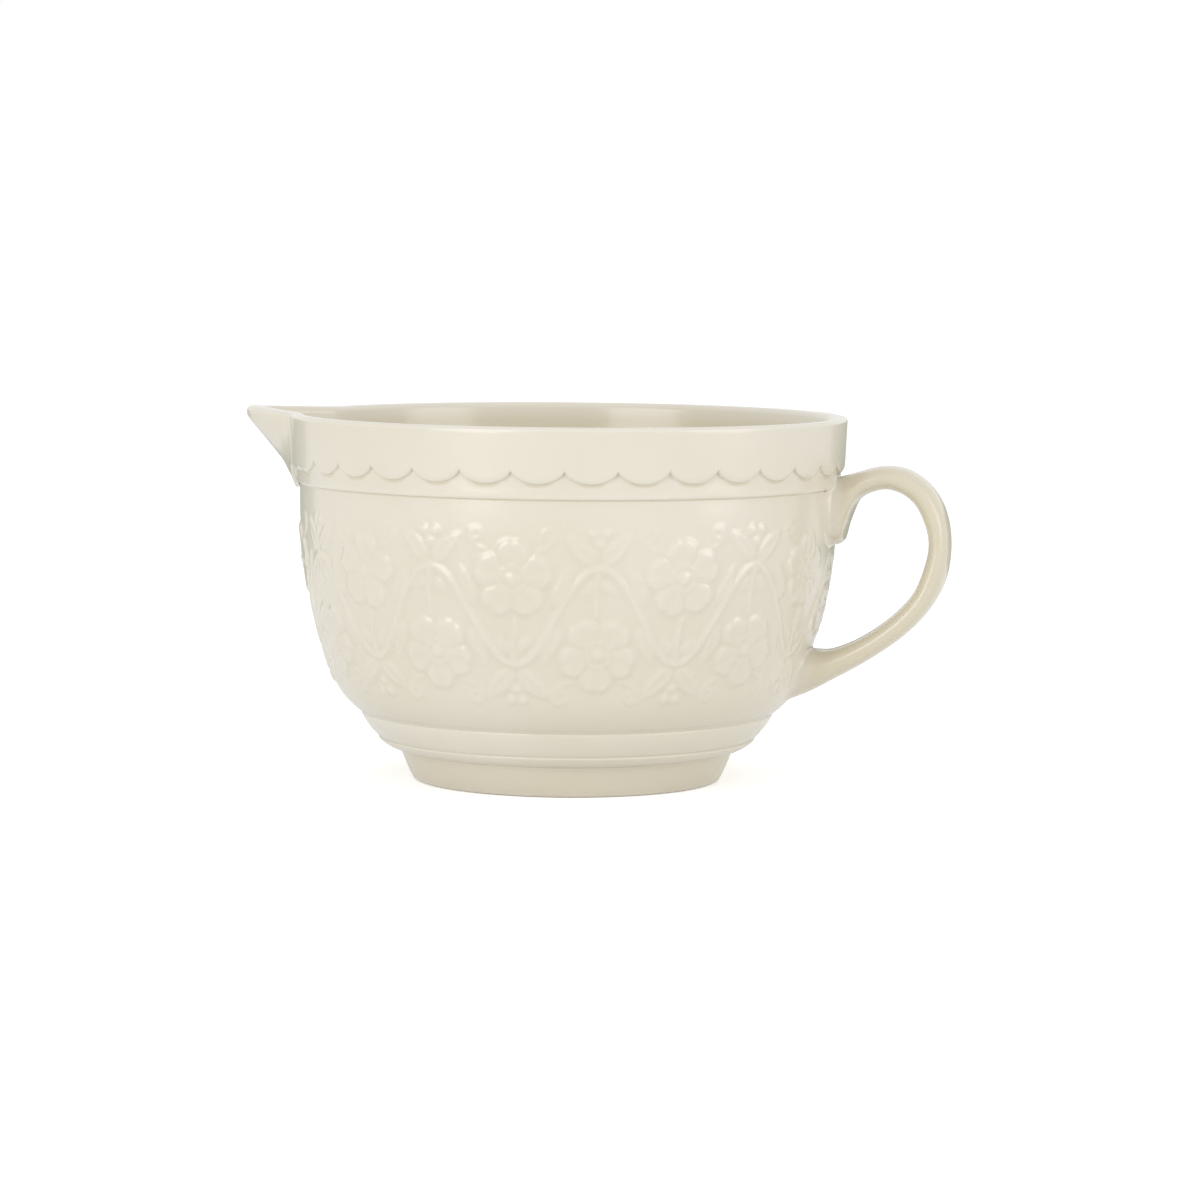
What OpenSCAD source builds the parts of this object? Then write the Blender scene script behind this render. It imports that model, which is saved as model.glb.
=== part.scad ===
// Batter bowl in glazed stoneware, with a pouring spout and a loop handle.
// Millimetres. Z is up, and the origin is the centre of the foot, on the table.
// The handle points to +X and the spout to -X.

/* [Bowl] */
// Height of the rim above the table
bowl_h = 136; // [132:1:142]
// Radius of the wall at its widest
wall_r = 99.8; // [98:0.1:100]
// Height of the widest place
wall_z = 107; // [105:0.5:108]
// Thickness of the wall
wall_t = 5.5; // [4.5:0.1:6]
// Radius of the long curve down the wall
belly_arc = 197; // [190:1:205]
// Radius of the tight curve above the rings
heel_arc = 28; // [27:0.5:29]
// Lean of the wall where the two curves meet, in degrees
heel_lean = 20; // [19:0.5:21]
// Height of the inside floor
floor_z = 10; // [9:0.5:11]
// Radius that blends the floor into the side
floor_blend = 40; // [30:1:45]

/* [Rings and foot] */
// Height where the upper step ring meets the wall
ring_z = 25; // [24.5:0.5:26]
// How far the upper ring stands out from the wall
ring_step = 1.3; // [0.8:0.1:2]
// Height of the groove between the two rings
groove_z = 15.6; // [15:0.1:16.5]
// Height of the top of the foot
foot_top_z = 11.8; // [11:0.1:12.5]
// Radius of the foot where it stands
foot_r = 57.2; // [56:0.1:58]
// Radius of the foot at its top
foot_top_r = 62.3; // [61.5:0.1:63]
// Inner radius of the foot ring
foot_in_r = 50; // [48:0.5:51]
// Depth of the hollow under the floor
foot_hollow = 4; // [3:0.5:5]

/* [Collar] */
// Outer radius of the collar at the rim
rim_r = 103.4; // [103:0.1:104.5]
// Outer radius of the collar at its scalloped edge
collar_r = 102.6; // [102:0.1:103]
// Outer radius of the plain band under the scallops
band_r = 101.1; // [101:0.1:101.5]
// Height of the band's lower edge
band_z = 110.6; // [110:0.1:111]
// Height of the lowest point of a scallop
scallop_z = 116.1; // [115.5:0.1:117]
// Height that each scallop hangs down
scallop_drop = 4.2; // [3.6:0.1:4.8]
// Number of scallops in a full turn
scallops = 34; // [33:1:37]
// Bearing of the point between two scallops, in degrees
scallop_turn = -79.4; // [-84:0.2:-74]
// Width of the rim's rounding on the inside
lip_in = 2.6; // [2:0.1:3]
// Width of the rim's rounding on the outside
lip_out = 1.5; // [1:0.1:2]
// Inner radius of the rim
mouth_r = 97.4; // [96.8:0.1:98]

/* [Spout] */
// Distance from the bowl's axis to the tip of the spout
spout_reach = 123.8; // [118:0.2:128]
// Half of the angle that the spout takes from the collar, in degrees
spout_half = 17.5; // [16:0.5:19]
// Height of the tip above the rim
spout_lift = 1.2; // [0:0.1:2]
// Height where the keel under the spout ends
keel_z = 106.7; // [106:0.1:108]
// Distance from the axis to the keel's lower end
keel_r = 103.5; // [103:0.1:105]
// Roundness of the tip, as a share of the spout's half width
tip_round = 0.2; // [0.1:0.02:0.3]

/* [Handle] */
// Width of the handle's strap
strap_w = 22; // [18:1:25]
// Width of the handle where it joins the bowl
root_w = 27; // [24:1:30]
// Squareness of the strap's section, where 2 is an ellipse
strap_square = 2.5; // [2:0.1:3]

/* [Relief] */
// Height of the vine stem above the wall
vine_h = 0.75; // [0.5:0.05:1]
// Height of the blossoms above the wall
blossom_h = 0.95; // [0.6:0.05:1.3]
// Height of the leaves above the wall
leaf_h = 0.75; // [0.5:0.05:1]
// Number of waves of the vine in a full turn
waves = 10; // [9:1:11]
// Radius of a blossom
blossom_r = 15; // [12:0.5:15.5]

/* [Hidden] */
$fn = 96;
glaze = [0.88, 0.86, 0.80];
glaze_shade = [0.84, 0.81, 0.74];
bare_clay = [0.72, 0.62, 0.50];

seam_z = band_z + 1;
seat_sink = 0.12;
lip_steps = 4;

// A point on a circle, by its lean from upright, as the outside of a wall leans in downwards.
function lean_point(centre, r, lean) = [centre[0] + r * cos(lean), centre[1] - r * sin(lean)];
function lean_arc(centre, r, from, to, n) =
    [for (i = [0:n]) lean_point(centre, r, from + (to - from) * i / n)];
function mixed(a, b, t) = a + (b - a) * t;
function turned(p, a) = [p[0] * cos(a), p[0] * sin(a), p[1]];

// The wall: a long curve, then a tight one round the heel
belly_c = [wall_r - belly_arc, wall_z];
heel_top = lean_point(belly_c, belly_arc, heel_lean);
heel_c = heel_top - lean_point([0, 0], heel_arc, heel_lean);
heel_end_lean = asin((heel_c[1] - ring_z) / heel_arc);
wall_foot = lean_point(heel_c, heel_arc, heel_end_lean);
function outer_r(z) = z > wall_z ? wall_r
    : z > heel_top[1] ? belly_c[0] + sqrt(pow(belly_arc, 2) - pow(wall_z - z, 2))
    : heel_c[0] + sqrt(pow(heel_arc, 2) - pow(heel_c[1] - max(z, ring_z), 2));

// Under the rings the wall's outside is a cone, which the rings and the foot sit on.
seat_foot = [foot_in_r, foot_hollow];
seat_lean = atan2(wall_foot[0] - seat_foot[0], wall_foot[1] - seat_foot[1]);
function seat_r(z) = seat_foot[0] + (z - seat_foot[1]) * tan(seat_lean);

// The inside follows the outside, with a flare to the mouth and a blend to the floor.
flare_h = bowl_h - lip_in - wall_z;
flare_w = mouth_r - (wall_r - wall_t);
flare_arc = (pow(flare_h, 2) + pow(flare_w, 2)) / (2 * flare_w);
function inner_r(z) = z < wall_z ? wall_r - wall_t
    : wall_r - wall_t + flare_arc - sqrt(pow(flare_arc, 2) - pow(z - wall_z, 2));
inner_heel_r = heel_arc - wall_t;
inner_cone_top = lean_point(heel_c, inner_heel_r, seat_lean);
blend_c_z = floor_z + floor_blend;
blend_run = (inner_cone_top[1] - blend_c_z) * tan(seat_lean) + floor_blend / cos(seat_lean);
blend_c = [inner_cone_top[0] - blend_run, blend_c_z];

module bowl_wall() {
    color(glaze)
        rotate_extrude()
            polygon(concat(
                [[wall_r, seam_z]],
                lean_arc(belly_c, belly_arc, 0, heel_lean, 16),
                lean_arc(heel_c, heel_arc, heel_lean + 3, heel_end_lean, 8),
                [seat_foot, [0, foot_hollow], [0, floor_z]],
                lean_arc(blend_c, floor_blend, 90, seat_lean, 5),
                lean_arc(heel_c, inner_heel_r, seat_lean, heel_lean + 3, 6),
                lean_arc(belly_c, belly_arc - wall_t, heel_lean, 0, 16),
                [[inner_r(seam_z), seam_z]]));
}

// A rim section has an inner chain and an outer chain of points, both rising to the top.
function lip_inside(r, top) =
    [for (i = [1:lip_steps]) let (t = 90 * i / lip_steps)
        [r + lip_in * (1 - cos(t)), top - lip_in * (1 - sin(t))]];
function lip_outside(r, top) =
    [for (i = [0:lip_steps - 1]) let (t = 90 * i / lip_steps)
        [r - lip_out * (1 - cos(t)), top - lip_out * (1 - sin(t))]];
function collar_out(z) = mixed(collar_r, rim_r, (z - scallop_z) / (bowl_h - lip_out - scallop_z));

// The collar and the band leave a gap for the spout.
module part_turn() {
    rotate([0, 0, -180 + spout_half])
        rotate_extrude(angle = 360 - 2 * spout_half)
            children();
}

// Round bars laid outwards shape the scallops, and what lies between two bars is cut away.
scallop_pitch = 360 / scallops;
scallop_half = collar_r * sin(scallop_pitch / 2);
scallop_arc = (pow(scallop_half, 2) + pow(scallop_drop, 2)) / (2 * scallop_drop);
scallop_flat = 0.08;
scallop_tip = 1;

module scallop_bar() {
    translate([0, 0, scallop_z + scallop_arc - scallop_flat])
        rotate([0, 90, 0])
            cylinder(r = scallop_arc, h = rim_r + 10);
}

module scallop_notch() {
    difference() {
        translate([band_r - 3, scallop_tip - scallop_half, scallop_z - 1])
            cube([rim_r - band_r + 6, 2 * (scallop_half - scallop_tip), scallop_drop + 3]);
        for (side = [-0.5, 0.5])
            rotate([0, 0, side * scallop_pitch])
                scallop_bar();
        cylinder(r = band_r, h = bowl_h);
    }
}

module rim_collar() {
    gap_edge = 180 - spout_half;
    first = ceil((-gap_edge - scallop_turn) / scallop_pitch - 0.5);
    last = floor((gap_edge - scallop_turn) / scallop_pitch + 0.5);
    lip_out_rising = [for (i = [1:lip_steps]) lip_outside(rim_r, bowl_h)[lip_steps - i]];
    color(glaze)
        difference() {
            part_turn()
                polygon(concat(
                    [for (i = [0:6]) let (z = mixed(seam_z, bowl_h - lip_in, i / 6)) [inner_r(z), z]],
                    lip_inside(mouth_r, bowl_h),
                    lip_out_rising,
                    [[collar_r, scallop_z], [wall_r, scallop_z], [wall_r, seam_z]]));
            for (i = [first:last])
                rotate([0, 0, scallop_turn + i * scallop_pitch])
                    scallop_notch();
        }
}

module collar_band() {
    edge = 1;
    color(glaze)
        part_turn()
            polygon(concat(
                [[wall_r, scallop_z], [wall_r, band_z], [band_r - edge, band_z]],
                [for (t = [30:30:90]) [band_r - edge * (1 - sin(t)), band_z + edge * (1 - cos(t))]],
                [[band_r, scallop_z]]));
}

// The spout is the rim's section, drawn out along a pointed plan.
keel_bend_z = 117;
keel_bend_r = keel_r + 5.6;
tip_z = bowl_h - 2.5;
inner_tip = spout_reach - 7.2;
spout_stations = 40;

// Plan of a spout at one level: two straight sides and a round tip, as the radius at a bearing.
function beak(tip, root_r, root_a, a) =
    let (w = root_r * sin(root_a),
         c = tip_round * w,
         k = (tip - root_r * cos(root_a)) / (sqrt(w * w + c * c) - c),
         t = tan(a),
         s = tip + k * c,
         q = 1 - k * k * t * t)
    (abs(q) < 1e-6 ? (s * s - k * k * c * c) / (2 * s)
        : (s - sqrt(s * s - q * (s * s - k * k * c * c))) / q) / cos(a);

function keel_x(z) = z < keel_bend_z
    ? mixed(keel_r, keel_bend_r, pow((z - keel_z) / (keel_bend_z - keel_z), 0.8))
    : mixed(keel_bend_r, spout_reach, min(1, (z - keel_bend_z) / (tip_z - keel_bend_z)));
function root_angle(z) = z > keel_bend_z ? spout_half
    : spout_half * pow(max(0, (z - keel_z)) / (keel_bend_z - keel_z), 0.8);
function low_z(a) = mixed(keel_z, keel_bend_z, pow(abs(a) / spout_half, 1 / 0.8));
function beak_out(a, z) = root_angle(z) < 0.4 ? keel_x(z)
    : beak(keel_x(z), collar_out(z), root_angle(z), min(abs(a), root_angle(z)));

function inner_keel_x(z) = mixed(inner_r(seam_z), inner_tip, pow((z - seam_z) / (bowl_h - seam_z), 0.9));
function inner_angle(z) = (spout_half - 1.5) * pow((z - seam_z) / (bowl_h - seam_z), 0.55);
function beak_in(a, z) = abs(a) >= inner_angle(z) || z <= seam_z + 0.1 ? inner_r(z)
    : beak(max(inner_keel_x(z), inner_r(z) + 0.05), inner_r(z), inner_angle(z), abs(a));

function spout_top(a) =
    bowl_h + spout_lift * pow(max(0, beak_out(a, tip_z) - rim_r) / (spout_reach - rim_r), 1.3);

function spout_inside(a) =
    let (top = spout_top(a), lip = top - lip_in)
    concat([for (i = [0:10]) let (z = mixed(seam_z, lip, i / 10)) [beak_in(a, z), z]],
           lip_inside(beak_in(a, lip), top));
function spout_outside(a) =
    let (top = spout_top(a), lip = top - lip_out, low = low_z(a), under = min(band_z, low - 0.3))
    concat([[wall_r, seam_z], [wall_r, under], [band_r, under], [band_r, low]],
           [for (i = [0:8]) let (z = mixed(low, lip, i / 8)) [beak_out(a, z), z]],
           [for (i = [1:lip_steps - 1]) lip_outside(beak_out(a, lip), top)[i]]);

module pouring_spout() {
    bearings = [for (i = [0:spout_stations]) spout_half * (2 * i / spout_stations - 1)];
    inner_n = len(spout_inside(0));
    outer_n = len(spout_outside(0));
    n = inner_n + outer_n;
    sections = [for (a = bearings)
        let (inside = spout_inside(a), outside = spout_outside(a))
        concat([for (p = inside) turned(p, 180 + a)],
               [for (i = [1:outer_n]) turned(outside[outer_n - i], 180 + a)])];
    sides = [for (k = [0:spout_stations - 1], i = [0:n - 1])
        let (a = k * n + i, b = k * n + (i + 1) % n)
        each [[a, b, b + n], [a, b + n, a + n]]];
    // An end face runs as a ladder between the two chains, after two corners at the band.
    outer_index = [for (i = [0:outer_n - 1]) n - 1 - i];
    rungs_in = [for (i = [0:inner_n - 1]) i];
    rungs_out = concat([outer_index[0]], [for (i = [3:outer_n - 1]) outer_index[i]]);
    rungs = max(len(rungs_in), len(rungs_out));
    function rung(list, i) = list[min(i, len(list) - 1)];
    ladder = concat(
        [[outer_index[0], outer_index[1], outer_index[2]], [outer_index[0], outer_index[2], outer_index[3]]],
        [for (i = [0:rungs - 2])
            let (a = rung(rungs_in, i), b = rung(rungs_in, i + 1),
                 c = rung(rungs_out, i), d = rung(rungs_out, i + 1))
            each concat(a == b ? [] : [[a, c, b]], c == d ? [] : [[b, c, d]])]);
    last = spout_stations * n;
    color(glaze)
        polyhedron(
            points = [for (s = sections) each s],
            faces = concat(sides,
                [for (f = ladder) [f[0], f[1], f[2]]],
                [for (f = ladder) [last + f[0], last + f[2], last + f[1]]]));
}

// The handle's outline: outer point, inner point and width at stations from the upper root down.
handle_rows = [
    [[103.8, 115.4], [103.6, 90.4], root_w - 1.5],
    [[108.5, 116.7], [105.2, 97.5], strap_w + 2],
    [[113.5, 118.2], [109.2, 106.5], strap_w + 0.5],
    [[120.0, 119.1], [117.5, 110.4], strap_w],
    [[127.8, 117.6], [124.3, 109.4], strap_w],
    [[135.6, 112.0], [129.9, 105.3], strap_w],
    [[141.0, 103.0], [133.7, 98.0], strap_w],
    [[143.0, 91.5], [135.2, 90.8], strap_w],
    [[141.7, 79.0], [133.7, 82.5], strap_w],
    [[136.6, 68.0], [129.6, 72.5], strap_w],
    [[127.3, 57.5], [121.3, 63.5], strap_w],
    [[114.0, 47.8], [110.0, 55.6], strap_w + 0.5],
    [[100.5, 40.0], [100.0, 51.3], strap_w + 2],
    [[90.5, 34.5], [94.5, 50.9], root_w - 1.5]];
upper_root = [114.6, 89.4];
lower_root = [32.0, 51.0];
handle_sides = 20;
handle_substeps = 4;

// A curve through a list of values, at a place that counts its stations
function along(list, s) =
    let (i = min(floor(s), len(list) - 2), t = s - i,
         a = list[max(i - 1, 0)], b = list[i], c = list[i + 1], d = list[min(i + 2, len(list) - 1)])
    b + 0.5 * t * (c - a + t * (2 * a - 5 * b + 4 * c - d + t * (3 * (b - c) + d - a)));
function signed_pow(v, e) = sign(v) * pow(abs(v), e);
// A point of the strap's section: one axis from the inner to the outer point, the other across
function strap_point(outer, inner, width, t) =
    let (middle = (outer + inner) / 2, half = (outer - inner) / 2, e = 2 / strap_square,
         c = signed_pow(cos(t), e), s = signed_pow(sin(t), e))
    [middle[0] + half[0] * c, width / 2 * s, middle[1] + half[1] * c];
// What the handle is joined to: the wall, and above its edge the band
function seat_at(z) = z > band_z ? band_r : outer_r(z);
function on_seat(p) = [sqrt(pow(seat_at(p[2]) - seat_sink, 2) - p[1] * p[1]), p[1], p[2]];
function root_ring(root, shrink) =
    [for (i = [0:handle_sides - 1])
        let (t = 360 * i / handle_sides, middle = (root[0] + root[1]) / 2)
        on_seat(strap_point([0, mixed(middle, root[0], shrink)], [0, mixed(middle, root[1], shrink)],
                            root_w * shrink, t))];

module loop_handle() {
    steps = (len(handle_rows) - 1) * handle_substeps;
    outers = [for (r = handle_rows) r[0]];
    inners = [for (r = handle_rows) r[1]];
    widths = [for (r = handle_rows) r[2]];
    loop = [for (k = [0:steps])
        let (s = k / handle_substeps, o = along(outers, s), i = along(inners, s), w = along(widths, s))
        [for (j = [0:handle_sides - 1]) strap_point(o, i, w, 360 * j / handle_sides)]];
    // The two ends close on the bowl, through smaller rings that lie on it too.
    rings = concat([root_ring(upper_root, 0.35), root_ring(upper_root, 0.7), root_ring(upper_root, 1)],
                   loop,
                   [root_ring(lower_root, 1), root_ring(lower_root, 0.7), root_ring(lower_root, 0.35)]);
    n = handle_sides;
    count = len(rings);
    function middle_of(root) = on_seat([0, 0, (root[0] + root[1]) / 2]);
    color(glaze)
        polyhedron(
            points = concat([for (r = rings) each r], [middle_of(upper_root), middle_of(lower_root)]),
            faces = concat(
                [for (k = [0:count - 2], i = [0:n - 1])
                    let (a = k * n + i, b = k * n + (i + 1) % n)
                    each [[a, b, b + n], [a, b + n, a + n]]],
                [for (i = [0:n - 1]) [count * n, (i + 1) % n, i]],
                [for (i = [0:n - 1])
                    [count * n + 1, (count - 1) * n + i, (count - 1) * n + (i + 1) % n]]));
}

// The step rings bulge outwards between their corners.
function bulge(a, b, r, n) =
    let (chord = b - a, half = norm(chord) / 2, rise = sqrt(r * r - half * half),
         out = [chord[1], -chord[0]] / norm(chord), c = (a + b) / 2 - out * rise,
         from = atan2(a[1] - c[1], a[0] - c[0]), to = atan2(b[1] - c[1], b[0] - c[0]))
    [for (i = [0:n]) c + r * [cos(mixed(from, to, i / n)), sin(mixed(from, to, i / n))]];

upper_ring_r = wall_foot[0] + ring_step;
groove_r = foot_top_r + 7.2;
lower_ring_r = groove_r + 1;
upper_bulge = 32;
lower_bulge = 16;

module upper_step_ring() {
    color(glaze_shade)
        rotate_extrude()
            polygon(concat(
                bulge([groove_r, groove_z], [upper_ring_r, ring_z - 0.3], upper_bulge, 8),
                [[upper_ring_r - 0.4, ring_z], [wall_foot[0], ring_z], [seat_r(groove_z), groove_z]]));
}

module lower_step_ring() {
    color(glaze_shade)
        rotate_extrude()
            polygon(concat(
                bulge([foot_top_r + 1.2, foot_top_z], [lower_ring_r, groove_z - 0.3], lower_bulge, 6),
                [[lower_ring_r - 0.4, groove_z], [seat_r(groove_z), groove_z],
                 [seat_r(foot_top_z), foot_top_z]]));
}

module foot_ring() {
    edge = 1.2;
    color(bare_clay)
        rotate_extrude()
            polygon([[foot_in_r + edge, 0], [foot_r - edge, 0], [foot_r - 0.2, 0.3], [foot_r + 0.4, edge],
                     [foot_top_r, foot_top_z - 0.4], [foot_top_r - 0.4, foot_top_z],
                     [seat_r(foot_top_z), foot_top_z], seat_foot, [foot_in_r, edge]]);
}

// The relief lies on the wall. A place is a bearing, a height and a distance out from the wall.
function on_wall(bearing, z, h) = turned([outer_r(z) + h, z], bearing);
// A place beside another one, by how far round and how far up it is in millimetres
function beside(place, round_mm, up_mm) =
    [place[0] + round_mm / outer_r(place[1]) * 180 / PI, place[1] + up_mm];
function near(middle, round_mm, up_mm, h) =
    let (place = beside(middle, round_mm, up_mm)) on_wall(place[0], place[1], h);
relief_sink = -0.12;
vine_z = 69;
vine_swing = 17.5;
vine_stations = 18 * waves;
function vine_at(bearing) = [bearing, vine_z + vine_swing * cos(waves * bearing)];

// Each bend of the vine holds a blossom: its bearing, and -1 below the vine or 1 above it.
bends = [for (i = [0:2 * waves - 1]) [i * 180 / waves, i % 2 == 0 ? -1 : 1]];
// The bend at the handle is between the handle's two ends and holds a small one.
function at_handle(bend) = bend[0] == 0;
function bloom_r(bend) = blossom_r * (at_handle(bend) ? 0.8 : bend[1] < 0 ? 0.96 : 1);
function bloom_off(bend) = at_handle(bend) ? 21 : 31;

// A closed mound: a top point, rings of points round it, the last one on the wall, and a point below
module mound(top, rings, below) {
    n = len(rings[0]);
    m = len(rings);
    polyhedron(
        points = concat([for (r = rings) each r], [top, below]),
        faces = concat(
            [for (i = [0:n - 1]) [m * n, (i + 1) % n, i]],
            [for (k = [0:m - 2], i = [0:n - 1])
                let (a = k * n + i, b = k * n + (i + 1) % n)
                each [[a, b, b + n], [a, b + n, a + n]]],
            [for (i = [0:n - 1]) [m * n + 1, (m - 1) * n + i, (m - 1) * n + (i + 1) % n]]));
}

// A strip of stem through places on the wall, with a width at each end. It tapers to its ends.
module stalk(places, from_w, to_w) {
    n = len(places);
    function heading(i) = places[min(i + 1, n - 1)] - places[max(i - 1, 0)];
    sections = [for (i = [0:n - 1])
        let (d = [heading(i)[0] * PI / 180 * outer_r(places[i][1]), heading(i)[1]],
             side = [-d[1], d[0]] / norm(d) * mixed(from_w, to_w, i / (n - 1)) / 2)
        [near(places[i], side[0], side[1], relief_sink),
         near(places[i], side[0] * 0.5, side[1] * 0.5, vine_h * 0.85),
         near(places[i], -side[0] * 0.5, -side[1] * 0.5, vine_h * 0.85),
         near(places[i], -side[0], -side[1], relief_sink)]];
    polyhedron(
        points = [for (s = sections) each s],
        faces = concat(
            [for (k = [0:n - 2], i = [0:3])
                let (a = k * 4 + i, b = k * 4 + (i + 1) % 4)
                each [[a, b + 4, b], [a, a + 4, b + 4]]],
            [[0, 1, 2], [0, 2, 3]],
            [[4 * n - 4, 4 * n - 2, 4 * n - 3], [4 * n - 4, 4 * n - 1, 4 * n - 2]]));
}

module vine_stem() {
    half_w = 1.3;
    n = vine_stations;
    sections = [for (k = [0:n - 1])
        let (a = 360 * k / n, place = vine_at(a),
             rise = -vine_swing * waves * sin(waves * a) / outer_r(place[1]),
             side = [-rise, 1] / norm([rise, 1]) * half_w)
        [near(place, side[0], side[1], relief_sink),
         near(place, side[0] * 0.5, side[1] * 0.5, vine_h),
         near(place, -side[0] * 0.5, -side[1] * 0.5, vine_h),
         near(place, -side[0], -side[1], relief_sink)]];
    color(glaze) {
        polyhedron(
            points = [for (s = sections) each s],
            faces = [for (k = [0:n - 1], i = [0:3])
                let (a = k * 4 + i, b = k * 4 + (i + 1) % 4, c = ((k + 1) % n) * 4)
                each [[a, c + (i + 1) % 4, b], [a, c + i, c + (i + 1) % 4]]]);
        for (bend = bends) {
            reach = bloom_off(bend) - bloom_r(bend) - 1.2;
            stalk([for (i = [0:3]) vine_at(bend[0]) + bend[1] * [0.25 * i, 1 + reach * i / 3]], 2, 1.4);
        }
    }
}

// A blossom has five round petals about a raised eye.
function petal_edge(t) = 0.7 + 0.3 * pow(abs(cos(2.5 * t)), 0.7);
module blossom(middle, r, tilt) {
    n = 20;
    // Share of the radius, height, and how much of the petals' outline shows in each ring
    rows = [[0.2, 1, 0], [0.3, 0.45, 0], [0.8, 0.95, 1], [1, -1, 1]];
    function height(v) = v < 0 ? relief_sink : v * blossom_h;
    mound(near(middle, 0, 0, blossom_h * 1.15),
          [for (row = rows)
              [for (i = [0:n - 1])
                  let (t = 360 * i / n, q = r * row[0] * mixed(1, petal_edge(t), row[2]))
                  near(middle, q * cos(t + tilt), q * sin(t + tilt), height(row[1]))]],
          near(middle, 0, 0, relief_sink));
}

module blossoms() {
    color(glaze)
        for (bend = bends)
            blossom(vine_at(bend[0]) + [0, bend[1] * bloom_off(bend)], bloom_r(bend), bend[1] * 90);
}

// A leaf is pointed at both ends, with its broadest place nearer the stem.
module leaf(base, length, width, heading, n = 8) {
    function outline(t) = [length * (1 - cos(t)) / 2, width / 2 * sin(t) * (1 + 0.35 * cos(t))];
    function spun(p) = [p[0] * cos(heading) - p[1] * sin(heading), p[0] * sin(heading) + p[1] * cos(heading)];
    function at(p, h) = let (q = spun(p)) near(base, q[0], q[1], h);
    middle = [length * 0.45, 0];
    mound(at(middle, leaf_h * 0.55),
          [[for (i = [0:n - 1]) at(mixed(middle, outline(-360 * i / n), 0.66), leaf_h)],
           [for (i = [0:n - 1]) at(outline(-360 * i / n), relief_sink)]],
          at(middle, relief_sink));
}

module leaves() {
    color(glaze)
        for (bend = bends, hand = [-1, 1]) {
            side = bend[1];
            crest = vine_at(bend[0]);
            slope = vine_at(bend[0] + hand * 90 / waves);
            // A small pair grows on each blossom's stalk.
            leaf(beside(crest, hand * 0.9, side * 4.5), 8.4, 4.4, side * (90 - hand * 48), 6);
            // Across the vine from it stand a broad pair and a slender pair, except under the handle.
            if (!at_handle(bend)) {
                leaf(beside(crest, hand * 1.3, -side * 2), 15, 7.2, -side * (90 - hand * 46));
                leaf(beside(slope, hand, -side * 4), 16, 5.6, -side * (90 + hand * 23));
            }
        }
}

module berry(middle, r) {
    n = 6;
    mound(near(middle, 0, 0, r * 0.4),
          [[for (i = [0:n - 1]) near(middle, r * 0.6 * cos(60 * i), r * 0.6 * sin(60 * i), r * 0.31)],
           [for (i = [0:n - 1]) near(middle, r * cos(60 * i), r * sin(60 * i), relief_sink)]],
          near(middle, 0, 0, relief_sink));
}

module berries() {
    berry_r = 2.05;
    color(glaze)
        for (bend = bends)
            if (!at_handle(bend))
                for (spot = [[0, 8.8], [-2.15, 12.6], [2.15, 12.6]])
                    berry(beside(vine_at(bend[0]), spot[0], -bend[1] * spot[1]), berry_r);
}

bowl_wall();
rim_collar();
collar_band();
pouring_spout();
loop_handle();
upper_step_ring();
lower_step_ring();
foot_ring();
vine_stem();
blossoms();
leaves();
berries();
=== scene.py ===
import bpy
import math
import numpy as np
from mathutils import Matrix, Vector


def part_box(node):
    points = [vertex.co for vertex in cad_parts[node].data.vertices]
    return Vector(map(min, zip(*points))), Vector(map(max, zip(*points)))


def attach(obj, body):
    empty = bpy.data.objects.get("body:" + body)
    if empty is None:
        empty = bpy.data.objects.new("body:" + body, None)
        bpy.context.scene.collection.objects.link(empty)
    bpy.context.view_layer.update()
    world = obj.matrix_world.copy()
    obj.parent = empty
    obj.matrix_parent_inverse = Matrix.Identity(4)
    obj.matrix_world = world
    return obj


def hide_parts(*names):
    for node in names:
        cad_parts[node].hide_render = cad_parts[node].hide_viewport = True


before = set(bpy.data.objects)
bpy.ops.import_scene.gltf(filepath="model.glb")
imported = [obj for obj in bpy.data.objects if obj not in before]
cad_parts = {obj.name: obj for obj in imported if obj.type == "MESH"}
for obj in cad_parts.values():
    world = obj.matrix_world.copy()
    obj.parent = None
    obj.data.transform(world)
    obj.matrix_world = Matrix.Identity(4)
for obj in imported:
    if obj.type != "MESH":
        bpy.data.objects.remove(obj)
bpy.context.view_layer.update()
scene = bpy.context.scene
scene.view_settings.view_transform = "Standard"
mm = 0.001        # every size below is in millimetres unless it says metres, and the meshes are in metres
crispFrom = 40    # degrees between two faces from which the edge between them stays crisp
rng = np.random.default_rng(7)
print("frame loaded,", len(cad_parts), "nodes")


# The camera stands on the bowl's side, turned a little towards the handle

view = {
    "distance": 1550,    # from the bowl's axis
    "height": 208.6,
    "aimHeight": 66.7,
    "aside": 12.05,      # how far the view's middle lies from the bowl's axis, towards the handle
    "bearing": 11,       # degrees round from the side
    "lean": 0.5,         # the photograph hangs a little lower on its right
    "lens": 125.05,
    "sensorWidth": 36,
    "farthest": 100,     # metres
}


def placeCamera():
    turn = Matrix.Rotation(math.radians(view["bearing"]), 4, "Z")
    eye = turn @ (Vector((view["aside"], -view["distance"], view["height"])) * mm)
    aim = turn @ (Vector((view["aside"], 0, view["aimHeight"])) * mm)
    camera = bpy.data.objects.new("camera", bpy.data.cameras.new("camera"))
    camera.data.lens = view["lens"]
    camera.data.sensor_width = view["sensorWidth"]
    camera.data.clip_end = view["farthest"]
    look = (aim - eye).to_track_quat("-Z", "Y").to_matrix().to_4x4()
    lean = Matrix.Rotation(math.radians(view["lean"]), 4, "Z")
    camera.matrix_world = Matrix.Translation(eye) @ look @ lean
    scene.collection.objects.link(camera)
    scene.camera = camera


placeCamera()
print("camera placed")


# Small helpers for curves and heights

def mix(a, b, t):
    return a + (b - a) * t


def smooth(low, high, x):  # 0 at low, 1 at high, soft at both
    t = np.clip((x - low) / (high - low), 0, 1)
    return t * t * (3 - 2 * t)


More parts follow.
